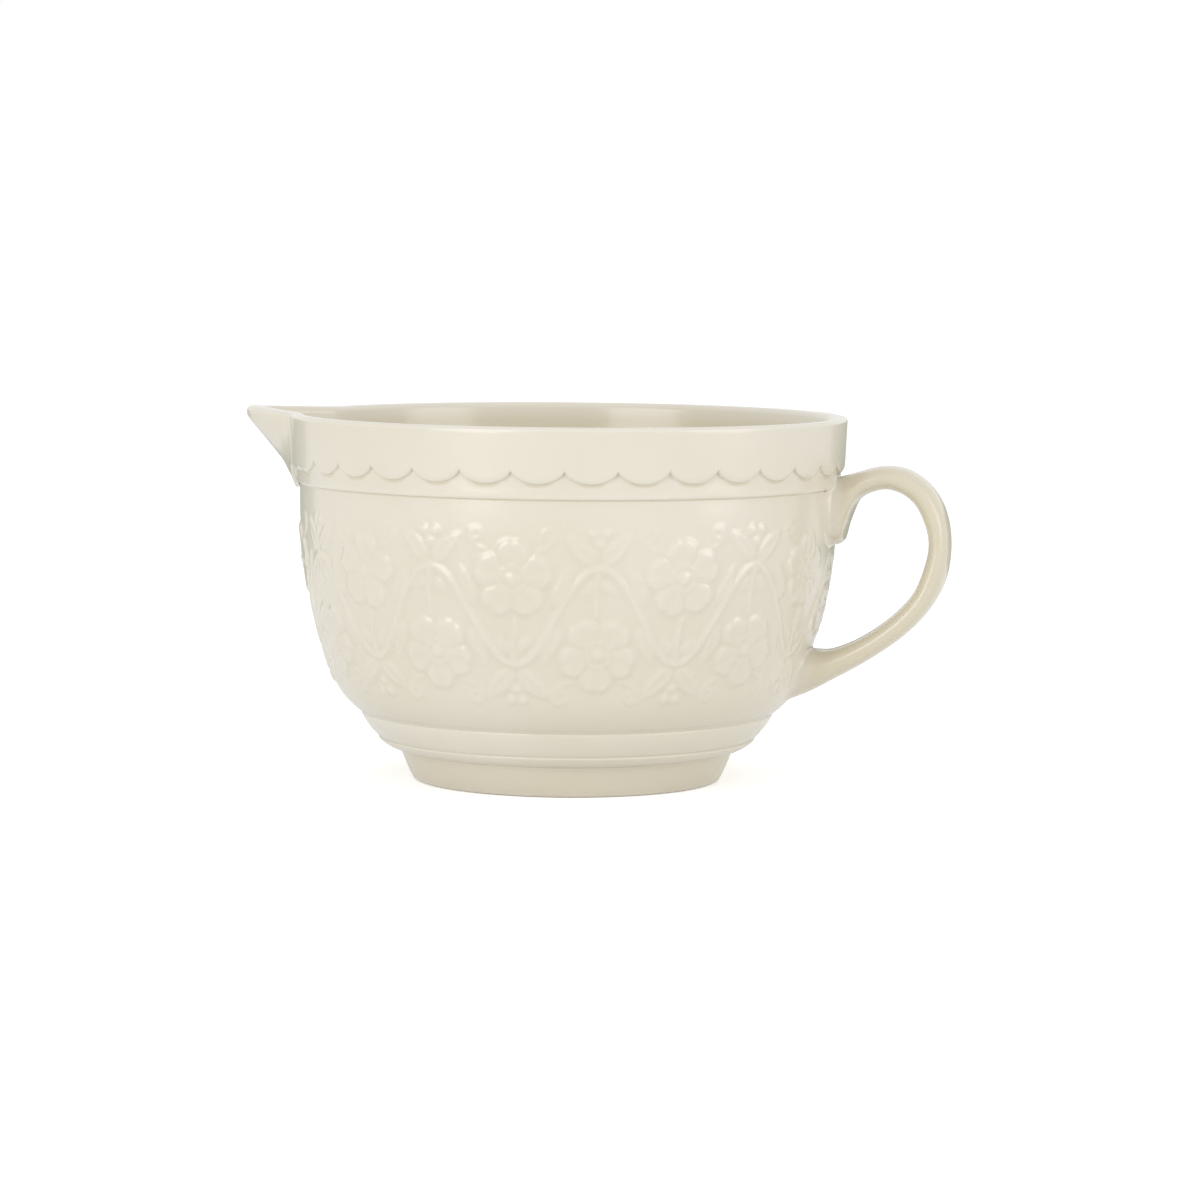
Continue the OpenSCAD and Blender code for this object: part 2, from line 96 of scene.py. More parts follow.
def softMax(a, b, reach):  # the larger of two, blended where they are within reach
    return np.maximum(a, b) + np.maximum(reach - np.abs(a - b), 0) ** 2 / (4 * reach)


def softMin(a, b, reach):
    return -softMax(-a, -b, reach)


def dome(x, half):  # a round section: 1 in the middle, 0 from half outwards
    return np.sqrt(np.maximum(1 - (x / half) ** 2, 0))


def dent(x, half):  # a soft groove: 1 in the middle, fading out past half
    return np.exp(-(x / half) ** 2)


def bowed(t):  # 0 at both ends, 1 halfway
    return 4 * t * (1 - t)


def offNearest(angle, pitch):  # how far an angle is from the nearest whole number of pitches
    return (angle + pitch / 2) % pitch - pitch / 2


def arc(centre, radius, start, end, count):  # rows of (radius from the axis, height)
    turn = np.radians(np.linspace(start, end, count))
    return np.stack([centre[0] + radius * np.cos(turn), centre[1] + radius * np.sin(turn)], -1)


def quarterTurn(first, last, count):  # 1 - cosine and 1 - sine of some angles, to round a corner with
    return [(1 - math.cos(t), 1 - math.sin(t)) for t in np.radians(np.linspace(first, last, count))]


def softTurn(start, corner, end, t):  # from start at 0 to end at 1, pulled towards a corner
    return (1 - t) ** 2 * np.asarray(start) + 2 * t * (1 - t) * np.asarray(corner) + t ** 2 * np.asarray(end)


def quadratic(start, corner, end, count):  # rows of points along such a turn
    return softTurn(start, corner, end, np.linspace(0, 1, count)[:, None])


def standing(r, bearing, z):  # points from radius, bearing and height
    return np.stack([r * np.cos(bearing), r * np.sin(bearing), z + 0 * bearing], -1)


def frameTop(node):
    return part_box(node)[1].z / mm


def frameFoot(node):
    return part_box(node)[0].z / mm


# Mesh makers: a piece is a grid of rings, each closed on itself

def meshFrom(name, points, faceSets):
    mesh = bpy.data.meshes.new(name)
    points = np.asarray(points, np.float64).reshape(-1, 3) * mm
    corners = np.concatenate([np.asarray(f, np.int32).ravel() for f in faceSets])
    sizes = np.concatenate([np.full(len(f), np.asarray(f).shape[1], np.int32) for f in faceSets])
    mesh.vertices.add(len(points))
    mesh.vertices.foreach_set("co", points.astype(np.float32).ravel())
    mesh.loops.add(len(corners))
    mesh.loops.foreach_set("vertex_index", corners)
    mesh.polygons.add(len(sizes))
    mesh.polygons.foreach_set("loop_start", np.concatenate([[0], np.cumsum(sizes)[:-1]]).astype(np.int32))
    mesh.polygons.foreach_set("use_smooth", np.ones(len(sizes), bool))
    mesh.update(calc_edges=True)
    mesh.validate()
    mesh.set_sharp_from_angle(angle=math.radians(crispFrom))
    piece = bpy.data.objects.new(name, mesh)
    scene.collection.objects.link(piece)
    return piece


def ringFaces(first, second):  # quads between two rings of as many points
    n = len(first)
    k = np.arange(n)
    return np.stack([first[k], first[(k + 1) % n], second[(k + 1) % n], second[k]], -1)


def gridIndex(grid, first=0):  # the numbers of a grid's points, row by row
    rows, columns = grid.shape[:2]
    return np.arange(first, first + rows * columns).reshape(rows, columns)


def gridFaces(index, closedRows=False):
    pairs = [(i, i + 1) for i in range(len(index) - 1)]
    if closedRows:
        pairs.append((len(index) - 1, 0))
    return np.concatenate([ringFaces(index[a], index[b]) for a, b in pairs])


def stepDown(fine, coarse):  # triangles from a ring to one with a quarter of its points
    n = len(coarse)
    k = np.arange(n)
    f = [fine[(4 * k + j) % (4 * n)] for j in range(5)]
    here, after = coarse, coarse[(k + 1) % n]
    return np.concatenate([
        np.stack([f[0], f[1], here], -1), np.stack([f[1], f[2], here], -1),
        np.stack([here, f[2], after], -1),
        np.stack([f[2], f[3], after], -1), np.stack([f[3], f[4], after], -1)])


def cap(ring, middle):  # a fan of triangles
    n = len(ring)
    k = np.arange(n)
    return np.stack([ring[k], ring[(k + 1) % n], np.full(n, middle)], -1)


def revolve(profile, columns):  # rows of points from rows of (radius, height)
    return standing(profile[:, :1], 2 * np.pi * np.arange(columns) / columns, profile[:, 1:])


def setPoolAndShade(piece, values):  # how far glaze has run into each place, with painted shade in some places above 0 and painted light in some places below 0: 1 in a crease, below 0 on an edge
    layer = piece.data.attributes.new("glazePoolAndShade", "FLOAT", "POINT")
    layer.data.foreach_set("value", np.asarray(values, np.float32).ravel())


# The bowl's wall: long belly curve, tight heel, and the inside that follows it

bowl = {
    "wallRadius": 99.8,
    "wallThickness": 5.5,
    "widestHeight": 107,
    "bellyArc": 197,
    "heelArc": 28,
    "heelLean": 20,
    "footHeight": frameTop("upper_step_ring"),
    "floorBlend": 40,
    "floorHeight": 10,
    "hollow": frameFoot("bowl_wall"),
    "footInner": 50,
    "mouthRadius": 97.4,
    "lipInside": 2.6,
    "insideShade": 1,           # painted shade: the whole inside takes the glaze's deeper tone
    "mouthRows": 4,
    "bellyRows": (0.4, 48),    # where they start, in degrees past the rows above, and how many
    "heelRows": (1.5, 18),
    "blendRows": (0.3, 22),
    "floorRings": 8,
    "floorStart": 0.82,        # the floor's first ring, as a share of the radius where it turns flat
    "smallestRings": (3, 4),   # round the middle of the floor, inside and underneath
}
rimTop = frameTop("rim_collar")
seamHeight = frameTop("bowl_wall")
bellyCentre = np.array([bowl["wallRadius"] - bowl["bellyArc"], bowl["widestHeight"]])


def leaning(centre, radius, lean):
    lean = np.radians(lean)
    return np.stack([centre[0] + radius * np.cos(lean), centre[1] - radius * np.sin(lean)], -1)


heelTop = leaning(bellyCentre, bowl["bellyArc"], bowl["heelLean"])
heelCentre = heelTop - leaning((0, 0), bowl["heelArc"], bowl["heelLean"])
heelEnd = math.degrees(math.asin((heelCentre[1] - bowl["footHeight"]) / bowl["heelArc"]))
wallFoot = leaning(heelCentre, bowl["heelArc"], heelEnd)
seatFoot = np.array([bowl["footInner"], bowl["hollow"]])
seatLean = math.degrees(math.atan2(*(wallFoot - seatFoot)))


def wallRadiusAt(z):
    belly = bellyCentre[0] + np.sqrt(bowl["bellyArc"] ** 2 - (bowl["widestHeight"] - z) ** 2)
    drop = heelCentre[1] - np.maximum(z, bowl["footHeight"])
    heel = heelCentre[0] + np.sqrt(np.maximum(bowl["heelArc"] ** 2 - drop ** 2, 0))
    return np.where(z > bowl["widestHeight"], bowl["wallRadius"], np.where(z > heelTop[1], belly, heel))


def insideRadiusAt(z):  # above the widest place, where the inside opens to the mouth
    rise = rimTop - bowl["lipInside"] - bowl["widestHeight"]
    opening = bowl["mouthRadius"] - bowl["wallRadius"] + bowl["wallThickness"]
    radius = (rise ** 2 + opening ** 2) / (2 * opening)
    up = np.clip(z - bowl["widestHeight"], 0, rise)
    return bowl["wallRadius"] - bowl["wallThickness"] + radius - np.sqrt(radius ** 2 - up ** 2)


def outsideRows(spacing):  # (radius, height, lean) down the outside, evenly spaced along it
    straight = seamHeight - bowl["widestHeight"]
    belly = bowl["bellyArc"] * math.radians(bowl["heelLean"])
    heel = bowl["heelArc"] * math.radians(heelEnd - bowl["heelLean"])
    s = np.linspace(0, straight + belly + heel, int((straight + belly + heel) / spacing))
    lean = np.degrees(np.clip(s - straight, 0, belly) / bowl["bellyArc"]
                      + np.clip(s - straight - belly, 0, heel) / bowl["heelArc"])
    long = leaning(bellyCentre, bowl["bellyArc"], np.minimum(lean, bowl["heelLean"]))
    tight = leaning(heelCentre, bowl["heelArc"], lean)
    rows = np.where((lean > bowl["heelLean"])[:, None], tight, long)
    rows[:, 1] += np.maximum(straight - s, 0)
    return rows, np.radians(lean)


def insideRows():  # down the inside from the seam to the middle of the floor
    thick = bowl["wallThickness"]
    cone = leaning(heelCentre, bowl["heelArc"] - thick, seatLean)
    blendZ = bowl["floorHeight"] + bowl["floorBlend"]
    run = (cone[1] - blendZ) * math.tan(math.radians(seatLean))
    blend = np.array([cone[0] - run - bowl["floorBlend"] / math.cos(math.radians(seatLean)), blendZ])
    up = np.linspace(seamHeight, bowl["widestHeight"], bowl["mouthRows"])
    rings = np.linspace(blend[0] * bowl["floorStart"], bowl["smallestRings"][0], bowl["floorRings"])

    def stretch(centre, radius, start, end, rows):
        past, count = rows
        return leaning(centre, radius, np.linspace(start + past, end, count))

    return np.concatenate([
        np.stack([insideRadiusAt(up), up], -1),
        stretch(bellyCentre, bowl["bellyArc"] - thick, 0, bowl["heelLean"], bowl["bellyRows"]),
        stretch(heelCentre, bowl["heelArc"] - thick, bowl["heelLean"], seatLean, bowl["heelRows"]),
        stretch(blend, bowl["floorBlend"], seatLean, 90, bowl["blendRows"]),
        np.stack([rings, np.full_like(rings, bowl["floorHeight"])], -1)])


# The relief: a vine that winds round the wall, with blossoms in its bends

relief = {
    "columns": 960,
    "rowSpacing": 0.6,
    "waves": 10,
    "softness": 0.6,       # how far the finished relief is blurred
    "halo": 1.1,           # a clear line round each form that lies over another
    "room": 2,             # reworked round each form, enough for its halo
    "fade": ((27, 32), (106, 109)),    # heights between which it comes in at its foot and goes at its top
    "handleEnds": (        # lowest and highest place of each, squash, and where the relief is gone and whole
        (98, 120, 1.9, 17.5, 21),
        (32, 50, 2.6, 15.5, 19)),
    "poolDepth": 0.4,      # of a crease that the glaze fills
    "poolShare": 0.5,      # how much of a deep glaze's tone such a crease takes
    "poolSpread": 1.6,     # how far the glaze levels out over the relief, in this many steps
    "poolBlurs": 3,
}

vine = {
    "height": 69,
    "swing": 17.5,
    "half": 1.3,
    "rise": 0.75,
    "swell": 0.12,         # how much its width varies
    "swells": 3,           # in each wave
}

stalk = {
    "rise": 0.675,
    "half": (1.1, 0.8),    # at the vine and at the blossom
    "aside": 0.8,
    "bow": 0.8,
    "meets": 0.95,         # where it ends, as a share of the blossom's radius
}

blossom = {
    "radius": 15,
    "rise": 0.95,
    "off": 31,             # from a bend of the vine to its blossom's middle
    "hanging": 0.96,       # the size of those below the vine
    "small": 0.8,          # and of the one between the handle's two ends
    "smallOff": 21,
    "sizes": (0.97, 1.03),     # each blossom differs a little from the next
    "turns": (-7, 7),
    "cups": (0.45, 0.6),   # how high a petal is near the eye, as a share of its rise
    "cupPower": 1.7,
    "petals": 5,
    "waist": 0.7,          # how far out the outline lies between two petals
    "waistPower": 0.7,
    "notch": 0.05,         # each petal is a little heart-shaped
    "notchHalf": 7,        # degrees
    "steepness": 0.85,     # of its rounded edge
    "edge": 1.5,           # width of that edge
    "gap": 0.65,           # the groove between two petals
    "gapHalf": 0.9,
    "fold": 0.3,           # the groove down a petal's middle
    "foldHalf": 0.7,
    "foldFrom": (0.25, 0.45),    # shares of the way out
    "veinRise": 0.09,
    "veinTurn": 26,        # the more, the closer they stand
    "veinFrom": (0.35, 0.6),
    "veinEdge": (1, 3),
    "eye": 0.2,            # a share of the radius, as the ring of beads is
    "eyeRise": 1.2,
    "grainRise": 0.16,
    "grainTurn": 4.2,
    "grainReach": 0.9,
    "beads": 15,
    "beadRing": 0.3,
    "beadHalf": 0.95,
    "beadRise": 1.05,
}

leaf = {
    "kinds": {             # aside and outwards from the vine, length, width, and lean from upright
        "small": (0.9, 4.5, 8.4, 4.4, 48),
        "broad": (1.3, 2, 15, 7.2, 46),
        "slender": (1, 4, 16, 5.6, -23)},
    "rise": 0.75,
    "turns": (-3, 3),      # each leaf differs a little from the next
    "curls": (-0.9, 0.9),
    "belly": 0.35,         # how much broader it is near its base
    "teeth": 0.05,
    "toothTurn": 2.1,      # the more, the closer they stand
    "steepness": 0.9,      # of its rounded edge
    "edge": 1.2,
    "middle": 0.75,        # lower along its middle than at its sides
    "fold": 0.55,          # the groove down its middle
    "foldHalf": 0.45,
    "foldTo": (0.8, 1),
    "ribRise": 0.1,
    "ribPitch": 2.6,
    "ribLean": 1.1,
    "ribEdge": (0.5, 1.6),
    "ribMiddle": (0.3, 1),
}

berry = {
    "places": ((0, 8.8), (-2.15, 12.6), (2.15, 12.6)),    # aside and outwards from the vine
    "radius": 2.05,
    "rise": 0.85,
    "dimple": 0.35,
    "dimpleHalf": 0.5477,
    "dimpleLow": 0.2,      # how far it lies below the berry's middle
}

tendril = {
    "rise": 0.45,
    "half": 0.75,
    "root": (8.5, 9.5),    # from the blossom's middle
    "middle": (13.3, 15.6),
    "swing": 2.8,
    "sizes": (2.8, 3.2),   # radius of the curl where it begins
    "turns": 1.4,
    "start": -math.pi / 4,
    "tighten": 0.66,       # how much of that radius is gone at its end
    "points": (14, 60),    # along its stem and round its curl
    "reach": 23,           # from the blossom's middle past its end
}


def vineAt(bearing):
    swing = vine["swing"] * np.cos(np.radians(relief["waves"] * bearing))
    return np.array([bearing, vine["height"] + swing])


class ReliefField:
    # Heights over the unrolled wall. Forms are laid on it one over another.
    def __init__(self, rows):
        self.z = rows[:, 1]
        self.bearing = 360 * np.arange(relief["columns"]) / relief["columns"]
        self.height = np.zeros((len(self.z), relief["columns"]))

    def window(self, bearing, z, reach):  # the part of the grid round a place, in mm from it
        scale = math.radians(1) * float(wallRadiusAt(np.array(z)))
        aside = offNearest(self.bearing - bearing, 360)
        columns = np.nonzero(np.abs(aside) * scale < reach)[0]
        rows = np.nonzero(np.abs(self.z - z) < reach)[0]
        return rows, columns, aside[columns] * scale, self.z[rows] - z

    def lay(self, bearing, z, reach, form):  # form gives the height and the distance inside its outline
        rows, columns, u, v = self.window(bearing, z, reach)
        height, inside = form(*np.meshgrid(u, v))
        here = np.ix_(rows, columns)
        keep = 1 - smooth(-relief["halo"], 0, inside)
        self.height[here] = np.maximum(self.height[here] * keep, height)

    def blur(self, spread):
        reach = 3
        across = 2 * math.pi * bowl["wallRadius"] / relief["columns"]
        taps = np.arange(-reach, reach + 1)
        for axis, spacing in ((0, relief["rowSpacing"]), (1, across)):
            weight = np.exp(-0.5 * (taps * spacing / spread) ** 2)
            weight /= weight.sum()
            if axis == 1:
                self.height = sum(w * np.roll(self.height, t, 1) for w, t in zip(weight, taps))
            else:
                padded = np.pad(self.height, ((reach, reach), (0, 0)), mode="edge")
                count = len(self.height)
                self.height = sum(w * padded[reach + t:reach + t + count] for w, t in zip(weight, taps))


def turnedBack(u, v, heading):
    c, s = math.cos(math.radians(heading)), math.sin(math.radians(heading))
    return u * c + v * s, v * c - u * s


def vineForm(field):
    wave = np.radians(relief["waves"] * field.bearing[None, :])
    middle = vine["height"] + vine["swing"] * np.cos(wave)
    slope = vine["swing"] * relief["waves"] * np.sin(wave) / wallRadiusAt(middle)
    away = np.abs(field.z[:, None] - middle) / np.sqrt(1 + slope ** 2)
    half = vine["half"] * (1 + vine["swell"] * np.cos(vine["swells"] * wave))
    return vine["rise"] * dome(away, half)


def stalkForm(end, bow):  # a strip from the place itself to end, bowed sideways
    length = math.hypot(*end)

    def form(u, v):
        x, y = turnedBack(u, v, math.degrees(math.atan2(end[1], end[0])))
        t = np.clip(x / length, 0, 1)
        half = mix(*stalk["half"], t)
        over = np.hypot(y - bow * bowed(t), np.maximum(np.abs(x - length / 2) - length / 2, 0))
        return stalk["rise"] * dome(over, half), half - over
    return form


def blossomForm(radius, tilt, cup):
    petal, pitch = 360 / blossom["petals"], 360 / blossom["beads"]

    def outline(angle, off):
        lobes = np.abs(np.cos(np.radians(blossom["petals"] / 2 * angle))) ** blossom["waistPower"]
        notch = blossom["notch"] * dent(off, blossom["notchHalf"])
        return radius * mix(blossom["waist"], 1, lobes) * (1 - notch)

    def eyeHeight(out, angle, u, v):
        eye = radius * blossom["eye"]
        middle = blossom["rise"] * blossom["eyeRise"] * dome(out, eye)
        grain = np.cos(u * blossom["grainTurn"]) * np.cos(v * blossom["grainTurn"])
        middle += blossom["grainRise"] * grain * (out < eye * blossom["grainReach"])
        bead = np.hypot(out - radius * blossom["beadRing"], out * np.radians(offNearest(angle, pitch)))
        return np.maximum(middle, blossom["rise"] * blossom["beadRise"] * dome(bead, blossom["beadHalf"]))

    def form(u, v):
        out, angle = np.hypot(u, v), np.degrees(np.arctan2(v, u)) - tilt
        off = offNearest(angle, petal)     # degrees from the middle of the nearest petal
        edge = outline(angle, off)
        inside = (edge - out) * blossom["steepness"]
        share = np.clip(out / edge, 0, 1)
        body = mix(cup, 1, share ** blossom["cupPower"]) * smooth(0, blossom["edge"], inside)
        gap = dent(out * np.radians(petal / 2 - np.abs(off)), blossom["gapHalf"])
        fold = dent(out * np.radians(off), blossom["foldHalf"]) * smooth(*blossom["foldFrom"], share)
        body *= (1 - blossom["gap"] * gap) * (1 - blossom["fold"] * fold)
        veins = np.cos(np.radians(off) * blossom["veinTurn"]) * smooth(*blossom["veinFrom"], share)
        veins *= smooth(*blossom["veinEdge"], inside)
        height = blossom["rise"] * body + blossom["veinRise"] * veins
        return np.maximum(height, eyeHeight(out, angle, u, v)), inside
    return form


def leafForm(length, width, heading, curl):
    def form(u, v):
        x, y = turnedBack(u, v, heading)
        along = np.clip(x / length, 0, 1)
        y = y - curl * bowed(along)
        aside = np.abs(y)
        t = np.arccos(1 - 2 * along)
        half = width / 2 * np.sin(t) * (1 + leaf["belly"] * np.cos(t))
        half = half * (1 + leaf["teeth"] * np.cos(along * length * leaf["toothTurn"]))
        beyond = np.maximum(-x, x - length)
        inside = np.where(beyond > 0, -np.hypot(beyond, y), (half - aside) * leaf["steepness"])
        body = smooth(0, leaf["edge"], inside) * mix(leaf["middle"], 1, np.clip(aside / (width / 2), 0, 1))
        body *= 1 - leaf["fold"] * dent(y, leaf["foldHalf"]) * (1 - smooth(*leaf["foldTo"], along))
        ribs = np.cos((x - aside * leaf["ribLean"]) * 2 * np.pi / leaf["ribPitch"])
        ribs *= smooth(*leaf["ribEdge"], inside) * smooth(*leaf["ribMiddle"], aside)
        return leaf["rise"] * body + leaf["ribRise"] * ribs, inside
    return form


def berryForm(u, v):
    out = np.hypot(u, v)
    dimple = berry["dimple"] * dent(np.hypot(u, v + berry["dimpleLow"]), berry["dimpleHalf"])
    return berry["rise"] * dome(out, berry["radius"]) - dimple, berry["radius"] - out


def tendrilForm(size, hand, side):  # from behind a blossom out to a curl that tightens to its end
    inStem, inCurl = tendril["points"]
    turns = np.linspace(0, tendril["turns"], inCurl)
    angle = 2 * np.pi * turns + tendril["start"]
    radius = (size * (1 - tendril["tighten"] * turns / tendril["turns"]))[:, None]
    curl = tendril["middle"] + radius * np.stack([np.cos(angle), np.sin(angle)], -1)
    stem = quadratic(tendril["root"], curl[0] - tendril["swing"], curl[0], inStem)[:-1]
    path = np.concatenate([stem, curl]) * (hand, side)

    def form(u, v):
        gap = np.min(np.hypot(u[..., None] - path[:, 0], v[..., None] - path[:, 1]), -1)
        return tendril["rise"] * dome(gap, tendril["half"]), tendril["half"] - gap
    return form


def handleClear(field):  # 0 where the handle's two ends sit on the wall, 1 away from them
    u = offNearest(field.bearing, 360)[None, :] * math.radians(1) * bowl["wallRadius"]
    z = field.z[:, None]
    clear = 1
    for low, high, squash, gone, whole in relief["handleEnds"]:
        beyond = np.maximum(np.maximum(low - z, z - high), 0)
        clear = clear * smooth(gone, whole, np.hypot(u, beyond * squash))
    return clear


def layRelief(rows):
    field = ReliefField(rows)
    room, pitch = relief["room"], 180 / relief["waves"]
    # Bearing of each bend, and -1 where its blossom hangs below the vine or 1 where it stands above it
    bends = [(bend * pitch, 1 if bend % 2 else -1) for bend in range(2 * relief["waves"])]

    def beside(place, aside, up):
        return place + np.array([math.degrees(aside / float(wallRadiusAt(place[1]))), up])

    def blossomAt(turn, side):
        off = blossom["smallOff"] if turn == 0 else blossom["off"]
        size = blossom["small"] if turn == 0 else blossom["hanging"] if side < 0 else 1
        return vineAt(turn) + (0, side * off), blossom["radius"] * size

    def leafAt(place, hand, facing, kind):
        aside, out, length, width, lean = leaf["kinds"][kind]
        heading = facing * (90 - hand * lean) + rng.uniform(*leaf["turns"])
        form = leafForm(length, width, heading, rng.uniform(*leaf["curls"]))
        field.lay(*beside(place, hand * aside, facing * out), length + room, form)

    for turn, side in bends:
        crest = vineAt(turn)
        for hand in (-1, 1):
            slope = vineAt(turn + hand * pitch / 2)
            leafAt(crest, hand, side, "small")
            if turn == 0:    # under the handle's upper end
                continue
            leafAt(crest, hand, -side, "broad")
            leafAt(slope, hand, -side, "slender")
            if abs(offNearest(slope[0], 360)) > 0.75 * pitch:    # not beside the handle
                curl = tendrilForm(rng.uniform(*tendril["sizes"]), hand, side)
                field.lay(*blossomAt(turn, side)[0], tendril["reach"], curl)
    for turn, side in bends:
        crest = vineAt(turn)
        place, radius = blossomAt(turn, side)
        end = (side * stalk["aside"], place[1] - crest[1] - side * radius * stalk["meets"])
        field.lay(*crest, math.hypot(*end) + room, stalkForm(end, side * stalk["bow"]))
        if turn != 0:
            for aside, out in berry["places"]:
                field.lay(*beside(crest, aside, -side * out), berry["radius"] + room, berryForm)
    field.height = np.maximum(field.height, vineForm(field))
    for turn, side in bends:
        place, radius = blossomAt(turn, side)
        radius *= rng.uniform(*blossom["sizes"])
        tilt = side * 90 + rng.uniform(*blossom["turns"])
        field.lay(*place, radius + room, blossomForm(radius, tilt, rng.uniform(*blossom["cups"])))
    field.height *= handleClear(field)
    foot, top = relief["fade"]
    field.height *= smooth(*foot, field.z)[:, None] * (1 - smooth(*top, field.z))[:, None]
    field.blur(relief["softness"])
    crisp = field.height.copy()
    for _ in range(relief["poolBlurs"]):
        field.blur(relief["poolSpread"])
    pool = field.height - crisp
    field.height = crisp
    return field, pool


def makeWall():
    rows, lean = outsideRows(relief["rowSpacing"])
    field, pool = layRelief(rows)
    r = rows[:, :1] + field.height * np.cos(lean)[:, None]
    z = rows[:, 1:] - field.height * np.sin(lean)[:, None]
    columns = relief["columns"] // 4
    across = np.linspace(seatFoot[0], bowl["smallestRings"][1], bowl["floorRings"])
    outside = standing(r, np.radians(field.bearing), z)
    inside = revolve(insideRows(), columns)
    under = revolve(np.stack([across, np.full_like(across, seatFoot[1])], -1), columns)
    middles = [[0, 0, bowl["floorHeight"]], [0, 0, seatFoot[1]]]
    points = np.concatenate([*(grid.reshape(-1, 3) for grid in (outside, inside, under)), middles])
    out = gridIndex(outside)
    inner = gridIndex(inside, out.size)
    low = gridIndex(under, out.size + inner.size)
    first = len(points) - 2
    faces = [gridFaces(out)[:, ::-1], gridFaces(inner), gridFaces(low)[:, ::-1],
             stepDown(out[0], inner[0]), stepDown(out[-1], low[0])[:, ::-1],
             cap(inner[-1], first), cap(low[-1], first + 1)[:, ::-1]]
    wall = meshFrom("bowl_wall_with_relief", points, faces)
    values = np.zeros(len(points))
    values[:out.size] = (np.clip(pool / relief["poolDepth"], -1, 1) * relief["poolShare"]).ravel()
    # painted shade: all of the inside takes the deeper tone
    values[out.size:out.size + inner.size] = bowl["insideShade"]
    values[first] = bowl["insideShade"]
    setPoolAndShade(wall, values)
    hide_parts("bowl_wall", "vine_stem", "blossoms", "leaves", "berries")
    return wall


# The collar with its scalloped edge, the plain band under it, and the spout drawn out of both

collar = {
    "rimRadius": 103.4,
    "edgeRadius": 102.6,
    "lipOutside": 1.5,
    "lipPool": -0.5,           # the glaze runs thin over the rim
    "mouthPool": -0.4,
    "scallops": 34,
    "scallopTurn": -79.4,
    "scallopHeight": 116.1,
    "scallopDrop": 4.5,
    "scallopFlat": 0.5,        # 0 for round arcs, 1 for half ellipses
    "scallopSoft": 0.9,        # how softly two of them meet
    "scallopPoolAndShade": 0.85,       # the glaze gathers at the lowest place of each, with painted shade added there under the scallop
    "scallopPoolAndShadeTo": (0.1, 1.6),   # and thins out between these heights over it
    "perScallop": 30,
    "stepFillet": 0.6,
    "stepRound": 0.9,
    "stepRun": 2.5,            # how much taller than deep the soft step is
    "bandRadius": 101.1,
    "bandHeight": frameFoot("collar_band"),
    "bandOut": 1.2,            # the band stands out of the wall at least this far
    "bandShows": (0.7, 1.0),   # how much of it is left where the spout dips, and how softly
    "bandRound": (0.85, 1.2),  # in and up
    # painted highlight along the band's rounded lower edge
    "bandHighlight": -0.3,
    "bandFillet": (0.45, 0.9),     # out and down, against the wall
    # glaze pooled in the fillet under the band, darkened further as painted shade in that crease
    "filletPoolAndShade": 0.9,
    "sunk": (0.5, 0.12, 0.05, 0.6),    # into the wall: hidden edge, fillet's start, fillet, edge at the seam
}

spout = {
    "reach": -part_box("pouring_spout")[0].x / mm,
    "half": 17.5,              # degrees either side of the spout's middle
    "lift": 1.2,
    "liftPower": 1.3,          # above 1 the rim rises late, towards the tip
    "keelHeight": 106.7,
    "keelRadius": 103.5,
    "keelRun": 5.6,            # how far the keel comes out below its bend
    "keelPower": 0.8,          # below 1 it comes out early and then steadies
    "bendHeight": 117,
    "tipDrop": 2.5,            # how far under the rim the keel has come out to the tip
    "tipRound": 0.2,           # a share of half the width
    "leastAngle": 0.6,         # it starts this narrow
    "drawnTo": 4,              # degrees past its side
    "innerTip": 7.2,           # how far the channel stops short of the tip
    "channelFoot": 1,          # above the seam
    "channelPower": 1.25,
    "channelSide": 1.5,        # degrees narrower than the outside
    "channelSpread": 0.6,
    "sideFall": 0.6,           # mm inwards for each degree past the channel's side
    "crease": 1.7,             # how softly the spout grows out of the collar
    "creaseRise": 7,           # and over what height it does so inside
    "climbPower": 1.25,        # how the lower edge climbs from the keel to the scallops
    "climbTo": 1.2,
    "edgePool": 0.15,
    "edgeBlend": (-2, 0.6),        # degrees from the spout's side, for its lower edge
    "bodyBlend": (-3.5, 1.2),      # for all of its body
    "bodyGain": 3,                 # keeps it whole until near the end of that blend
    "scallopBlend": (7, 16),       # and for the scallops to come in
    "stations": 160,               # fine columns across the spout
    "stationsTo": 1.5,             # and how many degrees past its side they go on
}


def collarRadiusAt(z):
    rise = rimTop - collar["lipOutside"] - collar["scallopHeight"]
    return mix(collar["edgeRadius"], collar["rimRadius"], (z - collar["scallopHeight"]) / rise)


def beak(tip, rootRadius, rootAngle, away):  # plan of a spout: two straight sides and a round tip
    angle = np.radians(np.minimum(away, spout["half"] + spout["drawnTo"]))
    rootAngle = np.radians(np.maximum(rootAngle, spout["leastAngle"]))
    width = rootRadius * np.sin(rootAngle)
    nose = spout["tipRound"] * width
    slope = (tip - rootRadius * np.cos(rootAngle)) / (np.sqrt(width ** 2 + nose ** 2) - nose)
    slope = np.maximum(slope, 1e-3)
    s = tip + slope * nose
    q = 1 - slope ** 2 * np.tan(angle) ** 2
    q = np.where(np.abs(q) < 1e-6, 1e-6, q)    # it divides below, so it is never 0
    root = np.sqrt(np.maximum(s ** 2 - q * (s ** 2 - slope ** 2 * nose ** 2), 0))
    return (s - root) / q / np.cos(angle)


def belowBend(z):  # 0 at the keel's foot, 1 from its bend upwards
    low, bend = spout["keelHeight"], spout["bendHeight"]
    return np.clip((z - low) / (bend - low), 0, 1) ** spout["keelPower"]


def keelAt(z):
    bend, tip = spout["bendHeight"], rimTop - spout["tipDrop"]
    under = spout["keelRadius"] + spout["keelRun"] * belowBend(z)
    share = np.clip((z - bend) / (tip - bend), 0, 1)
    over = mix(spout["keelRadius"] + spout["keelRun"], spout["reach"], share)
    return np.where(z < bend, under, over)


def spoutOutside(away, z):
    return beak(keelAt(z), collarRadiusAt(z), spout["half"] * belowBend(z), away)


